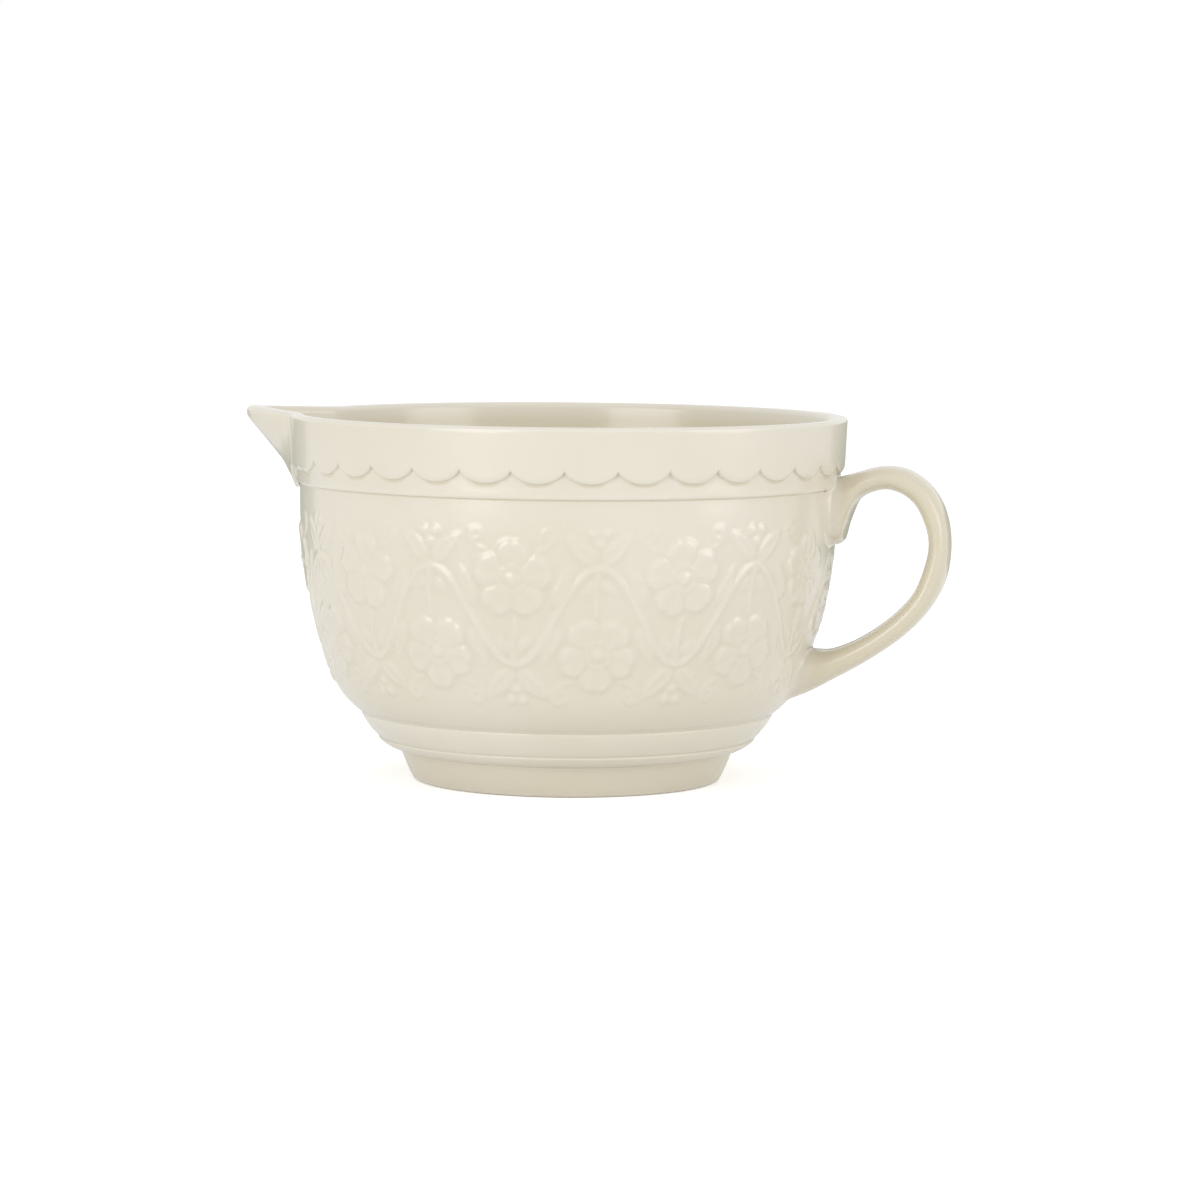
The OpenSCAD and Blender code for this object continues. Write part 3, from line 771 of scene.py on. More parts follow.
def spoutInside(away, z):
    foot = seamHeight + spout["channelFoot"]
    share = np.clip((z - foot) / (rimTop - foot), 0, 1)
    tip = spout["reach"] - spout["innerTip"]
    keel = mix(insideRadiusAt(np.array(seamHeight)), tip, share ** spout["channelPower"])
    angle = (spout["half"] - spout["channelSide"]) * share ** spout["channelSpread"]
    inner = insideRadiusAt(z)
    shape = beak(np.maximum(keel, inner + 0.05), inner, angle, away)
    past = np.maximum(away - angle, 0)    # a nearly flat side would come out of the wall again further round
    shape = np.where(past > 0, np.minimum(shape, inner - spout["sideFall"] * past), shape)
    return np.where(share > 0.01, shape, inner)


def pastSpout(away, blend):  # 0 over the spout, 1 past it, between two places given from its side
    low, high = blend
    return smooth(spout["half"] + low, spout["half"] + high, away)


def scallopEdge(bearing, away):  # height of the collar's lower edge
    pitch = 360 / collar["scallops"]
    # 0 at the lowest place of a scallop, 1 at the point between two
    share = 1 - 2 * np.abs(offNearest(bearing - collar["scallopTurn"], pitch)) / pitch
    half = collar["edgeRadius"] * math.sin(math.radians(pitch / 2))
    drop = collar["scallopDrop"]
    arcRadius = (half ** 2 + drop ** 2) / (2 * drop)
    rise = arcRadius - np.sqrt(arcRadius ** 2 - (share * half) ** 2)
    rise = mix(rise, drop * (1 - dome(share, 1)), collar["scallopFlat"])
    rise = softMin(rise, np.full_like(rise, drop), collar["scallopSoft"])
    edge = collar["scallopHeight"] + rise * pastSpout(away, spout["scallopBlend"])
    climb = np.clip(away / spout["half"], 0, spout["climbTo"]) ** spout["climbPower"]
    keelEdge = mix(spout["keelHeight"], spout["bendHeight"], climb)
    return mix(keelEdge, edge, pastSpout(away, spout["edgeBlend"]))


def collarBearings():  # one column on each point between scallops, and finer ones over the spout
    step = 360 / collar["scallops"] / collar["perScallop"]
    every = collar["scallopTurn"] + step * np.arange(collar["scallops"] * collar["perScallop"])
    every = (every + 360) % 360
    reach = spout["half"] + spout["stationsTo"]
    plain = every[np.abs(every - 180) > reach + step / 2]
    fine = 180 + np.linspace(-reach, reach, spout["stations"] + 1)
    return np.sort(np.concatenate([plain, fine]))


def makeCollar():
    bearing = collarBearings()
    turn, away = np.radians(bearing), np.abs(bearing - 180)
    edge = scallopEdge(bearing, away)
    least, soft = collar["bandShows"]
    band = softMin(np.full_like(edge, collar["bandHeight"]), edge - least, soft)
    # the glaze's pool under each scallop's lowest place, darkened further as painted shade
    lowest = collar["scallopPoolAndShade"] * (1 - smooth(*collar["scallopPoolAndShadeTo"], edge - collar["scallopHeight"]))
    lowest = mix(spout["edgePool"], lowest, pastSpout(away, spout["scallopBlend"]))
    share = np.minimum((1 - pastSpout(away, spout["bodyBlend"])) * spout["bodyGain"], 1)

    def outer(z):
        plain = collarRadiusAt(z)
        return mix(plain, softMax(plain, spoutOutside(away, z), spout["crease"]), share)

    def inner(z):
        plain = insideRadiusAt(z)
        crease = spout["crease"] * smooth(seamHeight, seamHeight + spout["creaseRise"], z) + 0.01
        return mix(plain, softMax(plain, spoutInside(away, z), crease), share)

    out = np.maximum(outer(np.full_like(edge, rimTop - spout["tipDrop"])) - collar["rimRadius"], 0)
    top = rimTop + spout["lift"] * (out / (spout["reach"] - collar["rimRadius"])) ** spout["liftPower"]
    wall = wallRadiusAt(band - 1)    # just under the band
    bandR = np.maximum(collar["bandRadius"], wall + collar["bandOut"])
    rows, pools = [], []

    def add(r, z, pool):
        rows.append(standing(r, turn, z))
        pools.append(np.broadcast_to(pool, edge.shape))

    hidden, start, sunk, seam = collar["sunk"]
    wide, tall = collar["bandFillet"]
    add(wall - hidden, band + 0.4, 0)       # two rows out of sight in the wall
    add(wall - start, band - tall, 0.3)
    # the glaze pools in this fillet, with painted shade added in the crease
    for a, b in quarterTurn(0, 90, 6):      # a small fillet against the wall
        add(wall + wide * a - sunk, band - tall * b, collar["filletPoolAndShade"])
    wide, tall = collar["bandRound"]
    # painted highlight on the band's rounded lower edge
    for a, b in quarterTurn(15, 90, 6):     # the band's rounded lower edge
        add(bandR - wide * b, band + tall * a, collar["bandHighlight"])
    fillet, rounding, run = collar["stepFillet"], collar["stepRound"], collar["stepRun"]
    for t in (0.35, 0.7, 1):
        add(bandR, mix(band + tall, edge - fillet * run, t), 0)
    for a, b in quarterTurn(22, 90, 5):     # the fillet under the scallops
        add(bandR + fillet * a, edge - fillet * run * b, lowest)
    faceFoot = edge + rounding * run
    face = outer(faceFoot)
    size = np.minimum(rounding, face - bandR - fillet)
    for a, b in quarterTurn(12, 90, 6):     # the scallops' rounded edge
        add(face - size * b, edge + rounding * run * a, 0)
    lip = collar["lipOutside"]
    for t in np.linspace(0.05, 1, 16):      # up the collar's face
        z = mix(faceFoot, top - lip, t)
        add(outer(z), z, 0)
    rim = outer(top - lip)
    for a, b in quarterTurn(15, 90, 6):     # over the rim
        add(rim - lip * a, top - lip * b, collar["lipPool"])
    lip = bowl["lipInside"]
    mouth = inner(top - lip)
    for a, b in quarterTurn(90, 0, 9):
        add(mouth + lip * a, top - lip * b, collar["mouthPool"])
    # painted shade comes in down the inside, under the rim
    for t in np.linspace(0.06, 1, 18):      # and down inside to the seam
        z = mix(top - lip, seamHeight, t)
        add(inner(z), z, bowl["insideShade"] * min(t * 4, 1))
    add(wall - seam, seamHeight, 0)
    points = np.array(rows)
    piece = meshFrom("collar_band_and_spout", points, [gridFaces(gridIndex(points), closedRows=True)])
    setPoolAndShade(piece, pools)
    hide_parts("rim_collar", "collar_band", "pouring_spout")
    return piece


# The loop handle: a strap whose ends spread onto the wall

handle = {
    "rows": [  # outer point, inner point, width, from the upper end down
        ((103.8, 115.4), (103.6, 90.4), 25.5),
        ((108.5, 116.7), (105.2, 97.5), 24),
        ((113.5, 118.2), (109.2, 106.5), 22.5),
        ((120.0, 119.1), (117.5, 110.4), 22),
        ((127.8, 117.6), (124.3, 109.4), 22),
        ((135.6, 112.0), (129.9, 105.3), 22),
        ((141.0, 103.0), (133.7, 98.0), 22),
        ((143.0, 91.5), (135.2, 90.8), 22),
        ((141.7, 79.0), (133.7, 82.5), 22),
        ((136.6, 68.0), (129.6, 72.5), 22),
        ((127.3, 57.5), (121.3, 63.5), 22),
        ((114.0, 47.8), (110.0, 55.6), 22.5),
        ((100.5, 40.0), (100.0, 51.3), 24),
        ((90.5, 34.5), (94.5, 50.9), 25.5)],
    "upperRoot": (114.6, 89.4),
    "lowerRoot": (32.0, 51.0),
    "rootWidth": 27,
    "squareness": 2.5,          # 2 for an oval section, more for a squarer one
    "sides": 64,
    "perRow": 10,               # rings from one row to the next
    "filletTo": (0.3, 0.5),     # how far the fillets reach up the loop at its two ends, in rows
    "sideFillet": 5.2,
    "endFillet": 0.9,
    "filletShape": 1.5,         # how late it widens from the strap's ends to its sides
    "filletRings": 12,
    "sunk": 0.12,               # the fillet's edge stands this deep in the wall
    "hiddenSunk": 0.5,
    "hiddenShares": (0.4, 0.97),
    "loopShade": 0.8,            # painted shade: the strap takes a darker tone than the wall
    # painted light: the handle's ends on the wall take a lighter tone
    "rootLight": -0.2,
}


def curveThrough(values, s):  # a smooth curve through a list of values
    values = np.asarray(values, float)
    i = min(int(s), len(values) - 2)
    t = s - i
    a, b, c, d = (values[j] for j in (max(i - 1, 0), i, i + 1, min(i + 2, len(values) - 1)))
    return b + 0.5 * t * (c - a + t * (2 * a - 5 * b + 4 * c - d + t * (3 * (b - c) + d - a)))


def strapRing(outer, inner, width):
    turn = 2 * np.pi * np.arange(handle["sides"]) / handle["sides"]
    power = 2 / handle["squareness"]
    c = np.sign(np.cos(turn)) * np.abs(np.cos(turn)) ** power
    s = np.sign(np.sin(turn)) * np.abs(np.sin(turn)) ** power
    middle, half = (outer + inner) / 2, (outer - inner) / 2
    return np.stack([middle[0] + half[0] * c, width / 2 * s, middle[1] + half[1] * c], -1)


def onSeat(points, sink):  # moved in or out onto what the handle joins: the wall or the band
    z = points[:, 2]
    seat = np.where(z > collar["bandHeight"], collar["bandRadius"], wallRadiusAt(z)) - sink
    return np.stack([np.sqrt(seat ** 2 - points[:, 1] ** 2), points[:, 1], z], -1)


def rootRing(root, grow):
    high, low = max(root), min(root)
    ring = strapRing(np.array([0, root[0]]), np.array([0, root[1]]), handle["rootWidth"])
    middle = np.array([0, 0, (high + low) / 2])
    away = ring - middle
    length = np.linalg.norm(away, axis=1, keepdims=True)
    side = np.abs(away[:, 1:2]) / length
    spread = mix(handle["endFillet"], handle["sideFillet"], side ** handle["filletShape"]) * grow
    return onSeat(middle + away * (1 + spread / length), handle["sunk"])


def shrunk(ring, share):
    middle = ring.mean(0)
    return onSeat(middle + (ring - middle) * share, handle["hiddenSunk"])


def makeHandle():
    outers, inners, widths = zip(*handle["rows"])
    last = len(outers) - 1
    firstEnd, lastEnd = handle["filletTo"][0], last - handle["filletTo"][1]

    def ringAt(s):
        return strapRing(curveThrough(outers, s), curveThrough(inners, s), curveThrough(widths, s))

    def fillet(root, edgeAt, towards):  # from the wall up to the edge of the strap's end, then round that
        knee, edge = rootRing(root, 0), ringAt(edgeAt)
        between = (knee + edge) / 2
        t = np.linspace(0, 1, handle["filletRings"] // 2 + 1)[:, None, None]
        first = softTurn(rootRing(root, 1), knee, between, t)
        second = softTurn(between, edge, ringAt(towards), t)
        return [*first, *second[1:]]

    count = int((lastEnd - firstEnd) * handle["perRow"])
    loop = [ringAt(s) for s in np.linspace(firstEnd, lastEnd, count)[1:-1]]
    upper = fillet(handle["upperRoot"], 0, firstEnd)
    lower = fillet(handle["lowerRoot"], last, lastEnd)[::-1]
    hidden = [shrunk(upper[0], share) for share in handle["hiddenShares"]]
    hiddenLow = [shrunk(lower[-1], share) for share in handle["hiddenShares"][::-1]]
    rings = np.array(hidden + upper + loop + lower + hiddenLow)
    index = gridIndex(rings)
    ends = np.array([rings[0].mean(0), rings[-1].mean(0)])
    points = np.concatenate([rings.reshape(-1, 3), ends])
    faces = [gridFaces(index)[:, ::-1], cap(index[0], index.size), cap(index[-1], index.size + 1)[:, ::-1]]
    piece = meshFrom("loop_handle_glazed", points, faces)
    # painted shade over the strap, fading into painted light at its two ends
    pool = np.full(rings.shape[:2], handle["loopShade"])
    fade = mix(handle["rootLight"], handle["loopShade"], np.linspace(0, 1, handle["filletRings"] + 1) ** 2)
    skip = len(hidden)
    pool[skip:skip + len(fade)] = fade[:, None]
    pool[-skip - len(fade):-skip] = fade[::-1, None]
    setPoolAndShade(piece, np.concatenate([pool.ravel(), [0, 0]]))
    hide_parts("loop_handle")
    return piece


# Two step rings and the foot under the wall

base = {
    "upperOut": 1.3,           # how far the upper ring's shoulder stands out of the wall
    "groove": frameTop("lower_step_ring"),
    "grooveRadius": 69.5,
    "upperBulge": 32,
    "lowerOut": 1.0,           # and the lower one's out of the upper ring's foot
    "lowerBulge": 16,
    "lowerStart": 1.2,         # how far its own foot stands out of the foot ring
    "valley": (-0.5, 0.5),     # where the glaze fills the corner above a ring, from the ring's edge
    "shoulder": (0.05, 0),
    "glazeReach": (2, 1),      # how high the glaze in that corner runs, above the upper and the lower ring
    "glazeProud": ((0.06, 0), (0.05, -0.03)),    # how far it lies over the surface where it begins
    "glazeFoot": 1.2,          # how far it goes on under the surface
    "valleyPools": (0, 0.1, 0.2, 0.3, 0.4, 0.4, 0.3, 0.2, 0, -0.1),
    "bulgePool": -0.5,
    "ringEdge": 0.4,
    "edgePool": 0.2,
    "seatGap": 0.1,            # between a ring's hidden corner and the wall's cone
    "footTop": frameTop("foot_ring"),
    "footTopRadius": 62.3,
    "footRadius": 57.2,
    "footSwell": 0.25,
    "footSide": (0.1, 0.86, 12),     # from and to, as shares of the way down, and how many rows
    "footEdges": (0.6, 1.3, 1.2),    # at its top, its outer corner and its inner corner
    "footPools": (0.5, 0.4),         # under the ring and down the side
    "columns": 360,
}


def seatRadiusAt(z):
    return seatFoot[0] + (z - seatFoot[1]) * math.tan(math.radians(seatLean))


def bulge(a, b, radius, count):  # an arc between two corners, bowed outwards
    a, b = np.asarray(a, float), np.asarray(b, float)
    chord = b - a
    half = np.linalg.norm(chord) / 2
    out = np.array([chord[1], -chord[0]]) / (2 * half)
    centre = (a + b) / 2 - out * math.sqrt(radius ** 2 - half ** 2)
    start, end = (math.degrees(math.atan2(*(p - centre)[::-1])) for p in (a, b))
    return arc(centre, radius, start, end, count)


def rounded(corner, before, after, size, count=6):  # a soft corner, as a quadratic curve
    corner, before, after = (np.asarray(p, float) for p in (corner, before, after))
    start = corner + (before - corner) / np.linalg.norm(before - corner) * size
    end = corner + (after - corner) / np.linalg.norm(after - corner) * size
    return quadratic(start, corner, end, count)


def profileOf(stretches):  # points and glaze depths of a profile, from its stretches
    points, pools = [], []
    for rows, pool in stretches:
        points.append(np.reshape(rows, (-1, 2)))
        pools.append(np.broadcast_to(pool, len(points[-1])))
    return np.concatenate(points), np.concatenate(pools)


def makeRing(name, node, profile, pools):
    points = revolve(profile, base["columns"])
    piece = meshFrom(name, points, [gridFaces(gridIndex(points), closedRows=True)])
    setPoolAndShade(piece, np.repeat(pools, base["columns"]))
    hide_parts(node)
    return piece


def ringProfile(low, high, bulgeRadius, meets, seatLow):
    # From the surface above down into a soft valley, over the ring's shoulder and down its bulge to the seat
    down = bulge(low, high, bulgeRadius, 20)[::-1]
    valley, shoulder = high + np.array(base["valley"]), high + np.array(base["shoulder"])
    knee = (valley + shoulder) / 2
    return profileOf([
        ([seatLow, meets - (base["glazeFoot"], 0)], 0),
        (quadratic(meets, valley, knee, len(base["valleyPools"])), base["valleyPools"]),
        (quadratic(knee, shoulder, down[4], 8)[1:], base["bulgePool"]),
        (down[5:-2], base["bulgePool"]),
        (rounded(low, down[-3], seatLow, base["ringEdge"]), base["edgePool"])])


def makeBase():
    groove, footTop, gap = base["groove"], base["footTop"], base["seatGap"]
    reach, lowReach = base["glazeReach"]
    proud, lowProud = base["glazeProud"]
    edge = (base["grooveRadius"], groove)
    high = np.array([wallFoot[0] + base["upperOut"], bowl["footHeight"]])
    meets = np.array([float(wallRadiusAt(high[1] + reach)), high[1] + reach]) + proud
    upper = ringProfile(edge, high, base["upperBulge"], meets, (seatRadiusAt(groove) + gap, groove))
    face = bulge(edge, high, base["upperBulge"], 40)
    meets = face[np.searchsorted(face[:, 1], groove + lowReach)] + lowProud
    lower = ringProfile((base["footTopRadius"] + base["lowerStart"], footTop),
                        np.array([base["grooveRadius"] + base["lowerOut"], groove]),
                        base["lowerBulge"], meets, (seatRadiusAt(footTop) + gap, footTop))
    top, low = np.array([base["footTopRadius"], footTop]), np.array([base["footRadius"], 0])
    inner = np.array([bowl["footInner"], 0])
    hidden = np.array([seatRadiusAt(footTop), footTop])
    down = np.linspace(*base["footSide"])
    side = [mix(top, low, t) + (base["footSwell"] * math.sin(math.pi * t), 0) for t in down]
    topEdge, outerEdge, innerEdge = base["footEdges"]
    foot = profileOf([
        (hidden, base["footPools"][0]),
        (rounded(top, hidden, low, topEdge), 0),
        (side, base["footPools"][1]),
        (rounded(low, top, inner, outerEdge, 8), 0),
        (rounded(inner, low, seatFoot, innerEdge, 8), 0),
        ([seatFoot - (0, 1), seatFoot], 0)])
    return [makeRing("upper_step_ring_glazed", "upper_step_ring", *upper),
            makeRing("lower_step_ring_glazed", "lower_step_ring", *lower),
            makeRing("foot_ring_glazed", "foot_ring", *foot)]


wallPiece = makeWall()
print("wall and relief built,", len(wallPiece.data.vertices), "points")
collarPiece = makeCollar()
print("collar, band and spout built,", len(collarPiece.data.vertices), "points")
handlePiece = makeHandle()
print("handle built,", len(handlePiece.data.vertices), "points")
basePieces = makeBase()
print("step rings and foot built")


# Finishes

glaze = {
    "colour": (0.752, 0.705, 0.599),
    # the deeper tone below is also used as painted shade, and the lighter one after it as painted light
    "pooledAndShaded": (0.674, 0.614, 0.462),
    "thinAndLit": (0.800, 0.765, 0.675),
    "roughness": (0.19, 0.26),
    "ior": 1.5,
    "coat": 0.3,
    "coatRoughness": 0.08,
    "ripple": 0.35,        # strength of the ripple's bump
    "rippleHeight": 0.6,
    # Where each tone begins and is fullest, and how much of it shows at both
    "poolAndShadeRamp": (0, 0.9, 0, 0.85),
    "thinAndLitRamp": (0, -0.8, 0, 0.8),
    "cloudRamp": (0.35, 0.65, 0, 0.22),
}

clay = {
    "colour": (0.52, 0.40, 0.27),
    "speck": (0.30, 0.21, 0.13),
    "roughness": 0.85,
    "grainScale": 900,
    "speckScale": 420,
    "speckRamp": (0.62, 0.72),
    "grain": 0.6,
    "grainHeight": 0.2,
    "reach": 0.3,      # how far up from the table the foot is bare
}


def newGroup(name, inputs, outputs):
    group = bpy.data.node_groups.new(name, "ShaderNodeTree")
    for label, kind, value in inputs:
        socket = group.interface.new_socket(name=label, in_out="INPUT", socket_type=kind)
        socket.default_value = value
    for label, kind in outputs:
        group.interface.new_socket(name=label, in_out="OUTPUT", socket_type=kind)
    return group, group.nodes.new("NodeGroupInput"), group.nodes.new("NodeGroupOutput")


def noise(nodes, links, scaleFrom, detail):
    node = nodes.new("ShaderNodeTexNoise")
    node.inputs["Detail"].default_value = detail
    links.new(scaleFrom, node.inputs["Scale"])
    return node


def ramp(nodes, low, high, lowTo=0.0, highTo=1.0):
    node = nodes.new("ShaderNodeMapRange")
    node.interpolation_type = "SMOOTHSTEP"
    for label, value in (("From Min", low), ("From Max", high), ("To Min", lowTo), ("To Max", highTo)):
        node.inputs[label].default_value = value
    return node


def mixColour(nodes, links, factor, first, second):
    node = nodes.new("ShaderNodeMix")
    node.data_type = "RGBA"
    for socket, value in ((node.inputs[0], factor), (node.inputs[6], first), (node.inputs[7], second)):
        if isinstance(value, tuple):
            socket.default_value = (*value, 1)
        else:
            links.new(value, socket)
    return node.outputs[2]


def glazeToneGroup():
    # Colour and gloss of a glaze that is deeper where it has run into hollows. The deeper tone also serves
    # as painted shade, and the thin tone as painted light, where the attribute is set for them
    group, given, put = newGroup("glazeTone", [
        ("Colour", "NodeSocketColor", (0.8, 0.8, 0.8, 1)),
        ("Pooled And Shaded", "NodeSocketColor", (0.7, 0.7, 0.7, 1)),
        ("Thin And Lit", "NodeSocketColor", (0.9, 0.9, 0.9, 1)),
        ("Pool And Shade", "NodeSocketFloat", 0.0),
        ("Cloud Scale", "NodeSocketFloat", 18.0),
        ("Fleck Scale", "NodeSocketFloat", 500.0),
        ("Gloss Low", "NodeSocketFloat", 0.18),
        ("Gloss High", "NodeSocketFloat", 0.3)],
        [("Colour", "NodeSocketColor"), ("Roughness", "NodeSocketFloat")])
    nodes, links = group.nodes, group.links
    where = nodes.new("ShaderNodeTexCoord")
    cloud = noise(nodes, links, given.outputs["Cloud Scale"], 3)
    links.new(where.outputs["Object"], cloud.inputs["Vector"])
    deep = ramp(nodes, *glaze["poolAndShadeRamp"])
    links.new(given.outputs["Pool And Shade"], deep.inputs["Value"])
    high = ramp(nodes, *glaze["thinAndLitRamp"])
    links.new(given.outputs["Pool And Shade"], high.inputs["Value"])
    first = mixColour(nodes, links, deep.outputs[0], given.outputs["Colour"], given.outputs["Pooled And Shaded"])
    second = mixColour(nodes, links, high.outputs[0], first, given.outputs["Thin And Lit"])
    drift = ramp(nodes, *glaze["cloudRamp"])
    links.new(cloud.outputs["Fac"], drift.inputs["Value"])
    third = mixColour(nodes, links, drift.outputs[0], second, given.outputs["Pooled And Shaded"])
    links.new(third, put.inputs["Colour"])
    fleck = noise(nodes, links, given.outputs["Fleck Scale"], 2)
    links.new(where.outputs["Object"], fleck.inputs["Vector"])
    gloss = nodes.new("ShaderNodeMapRange")
    links.new(fleck.outputs["Fac"], gloss.inputs["Value"])
    links.new(given.outputs["Gloss Low"], gloss.inputs["To Min"])
    links.new(given.outputs["Gloss High"], gloss.inputs["To Max"])
    links.new(gloss.outputs[0], put.inputs["Roughness"])
    return group


def glazeRippleGroup():
    # Height of a fired glaze: long soft waves, with a fine orange peel on them
    group, given, put = newGroup("glazeRipple", [
        ("Wave Scale", "NodeSocketFloat", 60.0),
        ("Peel Scale", "NodeSocketFloat", 600.0),
        ("Peel", "NodeSocketFloat", 0.15)],
        [("Height", "NodeSocketFloat")])
    nodes, links = group.nodes, group.links
    where = nodes.new("ShaderNodeTexCoord")
    wave = noise(nodes, links, given.outputs["Wave Scale"], 2)
    peel = noise(nodes, links, given.outputs["Peel Scale"], 2)
    for node in (wave, peel):
        links.new(where.outputs["Object"], node.inputs["Vector"])
    scaled = nodes.new("ShaderNodeMath")
    scaled.operation = "MULTIPLY_ADD"
    links.new(peel.outputs["Fac"], scaled.inputs[0])
    links.new(given.outputs["Peel"], scaled.inputs[1])
    links.new(wave.outputs["Fac"], scaled.inputs[2])
    links.new(scaled.outputs[0], put.inputs["Height"])
    return group


glazeTone, glazeRipple = glazeToneGroup(), glazeRippleGroup()


def newMaterial(name, colour):
    material = bpy.data.materials.new(name)
    material.use_nodes = True
    material.diffuse_color = (*colour, 1)
    nodes, links = material.node_tree.nodes, material.node_tree.links
    return material, nodes, links, nodes["Principled BSDF"]


def useGroup(nodes, group, values):
    node = nodes.new("ShaderNodeGroup")
    node.node_tree = group
    for label, value in values.items():
        node.inputs[label].default_value = (*value, 1) if isinstance(value, tuple) else value
    return node


def addBump(nodes, links, height, strength, distance, shader):
    bump = nodes.new("ShaderNodeBump")
    bump.inputs["Strength"].default_value = strength
    bump.inputs["Distance"].default_value = distance * mm
    links.new(height, bump.inputs["Height"])
    links.new(bump.outputs["Normal"], shader.inputs["Normal"])


def creamGlaze():
    material, nodes, links, shader = newMaterial("creamGlaze", glaze["colour"])
    low, high = glaze["roughness"]
    tones = {"Colour": glaze["colour"], "Pooled And Shaded": glaze["pooledAndShaded"], "Thin And Lit": glaze["thinAndLit"]}
    tone = useGroup(nodes, glazeTone, {**tones, "Gloss Low": low, "Gloss High": high})
    pool = nodes.new("ShaderNodeAttribute")
    pool.attribute_name = "glazePoolAndShade"
    links.new(pool.outputs["Fac"], tone.inputs["Pool And Shade"])
    links.new(tone.outputs["Colour"], shader.inputs["Base Color"])
    links.new(tone.outputs["Roughness"], shader.inputs["Roughness"])
    ripple = useGroup(nodes, glazeRipple, {})
    addBump(nodes, links, ripple.outputs["Height"], glaze["ripple"], glaze["rippleHeight"], shader)
    shader.inputs["IOR"].default_value = glaze["ior"]
    shader.inputs["Coat Weight"].default_value = glaze["coat"]
    shader.inputs["Coat Roughness"].default_value = glaze["coatRoughness"]
    return material


def bareClay():
    material, nodes, links, shader = newMaterial("bareClay", clay["colour"])
    where = nodes.new("ShaderNodeTexCoord")
    grain, speck = nodes.new("ShaderNodeTexNoise"), nodes.new("ShaderNodeTexNoise")
    for node, scale in ((grain, clay["grainScale"]), (speck, clay["speckScale"])):
        node.inputs["Scale"].default_value = scale
        node.inputs["Detail"].default_value = 4
        links.new(where.outputs["Object"], node.inputs["Vector"])
    spots = ramp(nodes, *clay["speckRamp"])
    links.new(speck.outputs["Fac"], spots.inputs["Value"])
    colour = mixColour(nodes, links, spots.outputs[0], clay["colour"], clay["speck"])
    links.new(colour, shader.inputs["Base Color"])
    addBump(nodes, links, grain.outputs["Fac"], clay["grain"], clay["grainHeight"], shader)
    shader.inputs["Roughness"].default_value = clay["roughness"]
    return material


cream, bare = creamGlaze(), bareClay()
for piece in (wallPiece, collarPiece, handlePiece, *basePieces):
    piece.data.materials.append(cream)
    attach(piece, "root")
footPiece = basePieces[-1]
footPiece.data.materials.append(bare)
for face in footPiece.data.polygons:
    if face.center.z < clay["reach"] * mm:
        face.material_index = 1
print("finishes set")


# Floor, world and lamps

studio = {
    "floorSize": 40,       # metres
    "floorGlow": 0.42,     # added to the floor's own tone where the camera sees it
    "floorGleam": 0.15,    # and where a glaze mirrors it
    "floorColour": 0.92,
    "worldLight": 0.75,    # of the white that the camera sees
    "key": {"place": (-700, -1500, 500), "size": 1100, "power": 8.2},
    "fill": {"place": (1600, -400, 500), "size": 1100, "power": 6.2},
    "lampAim": 70,
    "flagBearings": (74, 128),
    "flagDistance": 600,
    "flagSize": (500, 150),
    "flagColour": (0.35, 0.38, 0.33),
}


def lamp(name, place, size, power):
    light = bpy.data.objects.new(name, bpy.data.lights.new(name, "AREA"))
    light.data.shape = "DISK"
    light.data.size = size * mm
    light.data.energy = power
    light.location = Vector(place) * mm
    towards = Vector((0, 0, studio["lampAim"])) * mm - light.location
    light.rotation_euler = towards.to_track_quat("-Z", "Y").to_euler()
    scene.collection.objects.link(light)


def seenLevel(nodes, links, direct, mirrored):  # a level for the camera, one in a mirror or glass, else 0
    path = nodes.new("ShaderNodeLightPath")
    either, scaled, total = (nodes.new("ShaderNodeMath") for _ in range(3))
    either.operation, scaled.operation, total.operation = "MAXIMUM", "MULTIPLY", "MULTIPLY_ADD"
    links.new(path.outputs["Is Glossy Ray"], either.inputs[0])
    links.new(path.outputs["Is Transmission Ray"], either.inputs[1])
    links.new(either.outputs[0], scaled.inputs[0])
    scaled.inputs[1].default_value = mirrored
    links.new(path.outputs["Is Camera Ray"], total.inputs[0])
    total.inputs[1].default_value = direct
    links.new(scaled.outputs[0], total.inputs[2])
    return total.outputs[0]


def sheet(name, corners):  # one flat face
    mesh = bpy.data.meshes.new(name)
    mesh.from_pydata(corners, [], [(0, 1, 2, 3)])
    piece = bpy.data.objects.new(name, mesh)
    scene.collection.objects.link(piece)
    return piece


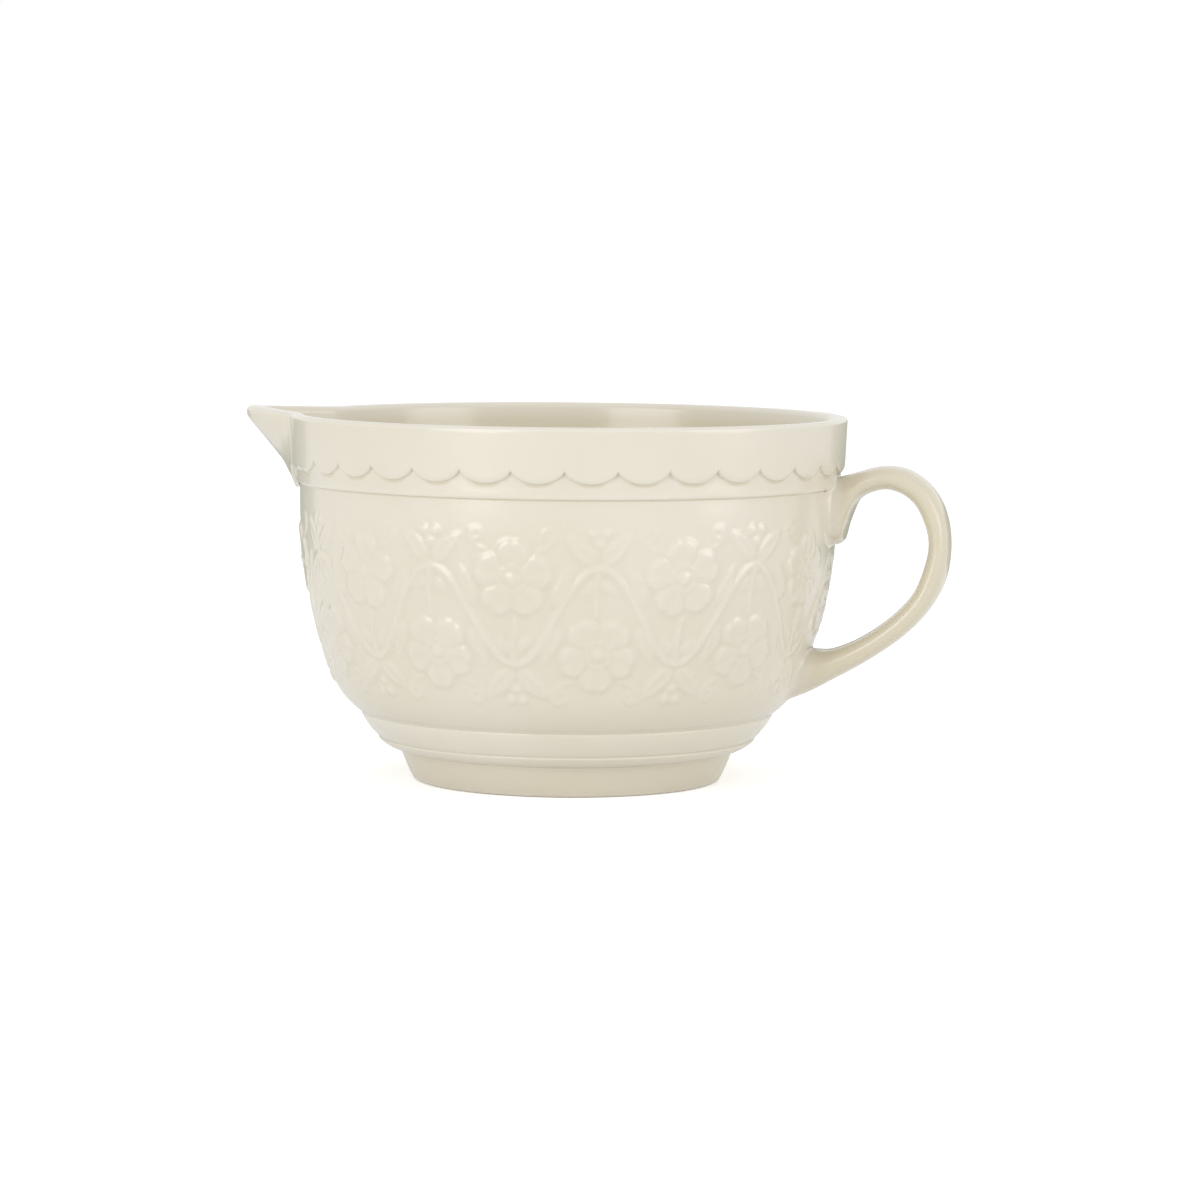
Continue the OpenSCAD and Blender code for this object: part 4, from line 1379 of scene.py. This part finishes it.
def makeFloor():
    size = studio["floorSize"] / 2
    floor = sheet("floor", [(-size, -size, 0), (size, -size, 0), (size, size, 0), (-size, size, 0)])
    material, nodes, links, shader = newMaterial("paleFloor", (1, 1, 1))
    level = studio["floorColour"]
    shader.inputs["Base Color"].default_value = (level, level, level, 1)
    shader.inputs["Roughness"].default_value = 1
    shader.inputs["Specular IOR Level"].default_value = 0
    shader.inputs["Emission Color"].default_value = (1, 1, 1, 1)
    glow = seenLevel(nodes, links, studio["floorGlow"], studio["floorGleam"])
    links.new(glow, shader.inputs["Emission Strength"])
    floor.data.materials.append(material)


def makeWorld():
    world = bpy.data.worlds.new("studio")
    scene.world = world
    world.use_nodes = True
    nodes, links = world.node_tree.nodes, world.node_tree.links
    background = nodes["Background"]
    background.inputs["Color"].default_value = (1, 1, 1, 1)
    strength = nodes.new("ShaderNodeMapRange")      # white where it is seen, softer as a light
    links.new(seenLevel(nodes, links, 1, 1), strength.inputs["Value"])
    strength.inputs["To Min"].default_value = studio["worldLight"]
    strength.inputs["To Max"].default_value = 1
    links.new(strength.outputs[0], background.inputs["Strength"])


def makeFlag(name, bearing):  # a dark screen off to one side, seen only as a reflection in the glaze
    width, height = studio["flagSize"]
    corners = [(-width / 2, 0, 0), (width / 2, 0, 0), (width / 2, 0, height), (-width / 2, 0, height)]
    flag = sheet(name, [Vector(c) * mm for c in corners])
    turn = math.radians(bearing)
    flag.location = Vector((math.cos(turn), math.sin(turn), 0)) * studio["flagDistance"] * mm
    flag.rotation_euler.z = turn + math.pi / 2
    material, nodes, links, shader = newMaterial(name, studio["flagColour"])
    shader.inputs["Base Color"].default_value = (0, 0, 0, 1)
    shader.inputs["Specular IOR Level"].default_value = 0
    shader.inputs["Emission Color"].default_value = (*studio["flagColour"], 1)
    shader.inputs["Emission Strength"].default_value = 1
    flag.data.materials.append(material)
    flag.visible_camera = flag.visible_diffuse = flag.visible_shadow = flag.visible_transmission = False


makeFloor()
makeWorld()
for number, bearing in enumerate(studio["flagBearings"]):
    makeFlag(f"flag{number}", bearing)
lamp("keyLamp", **studio["key"])
lamp("fillLamp", **studio["fill"])
print("studio set")
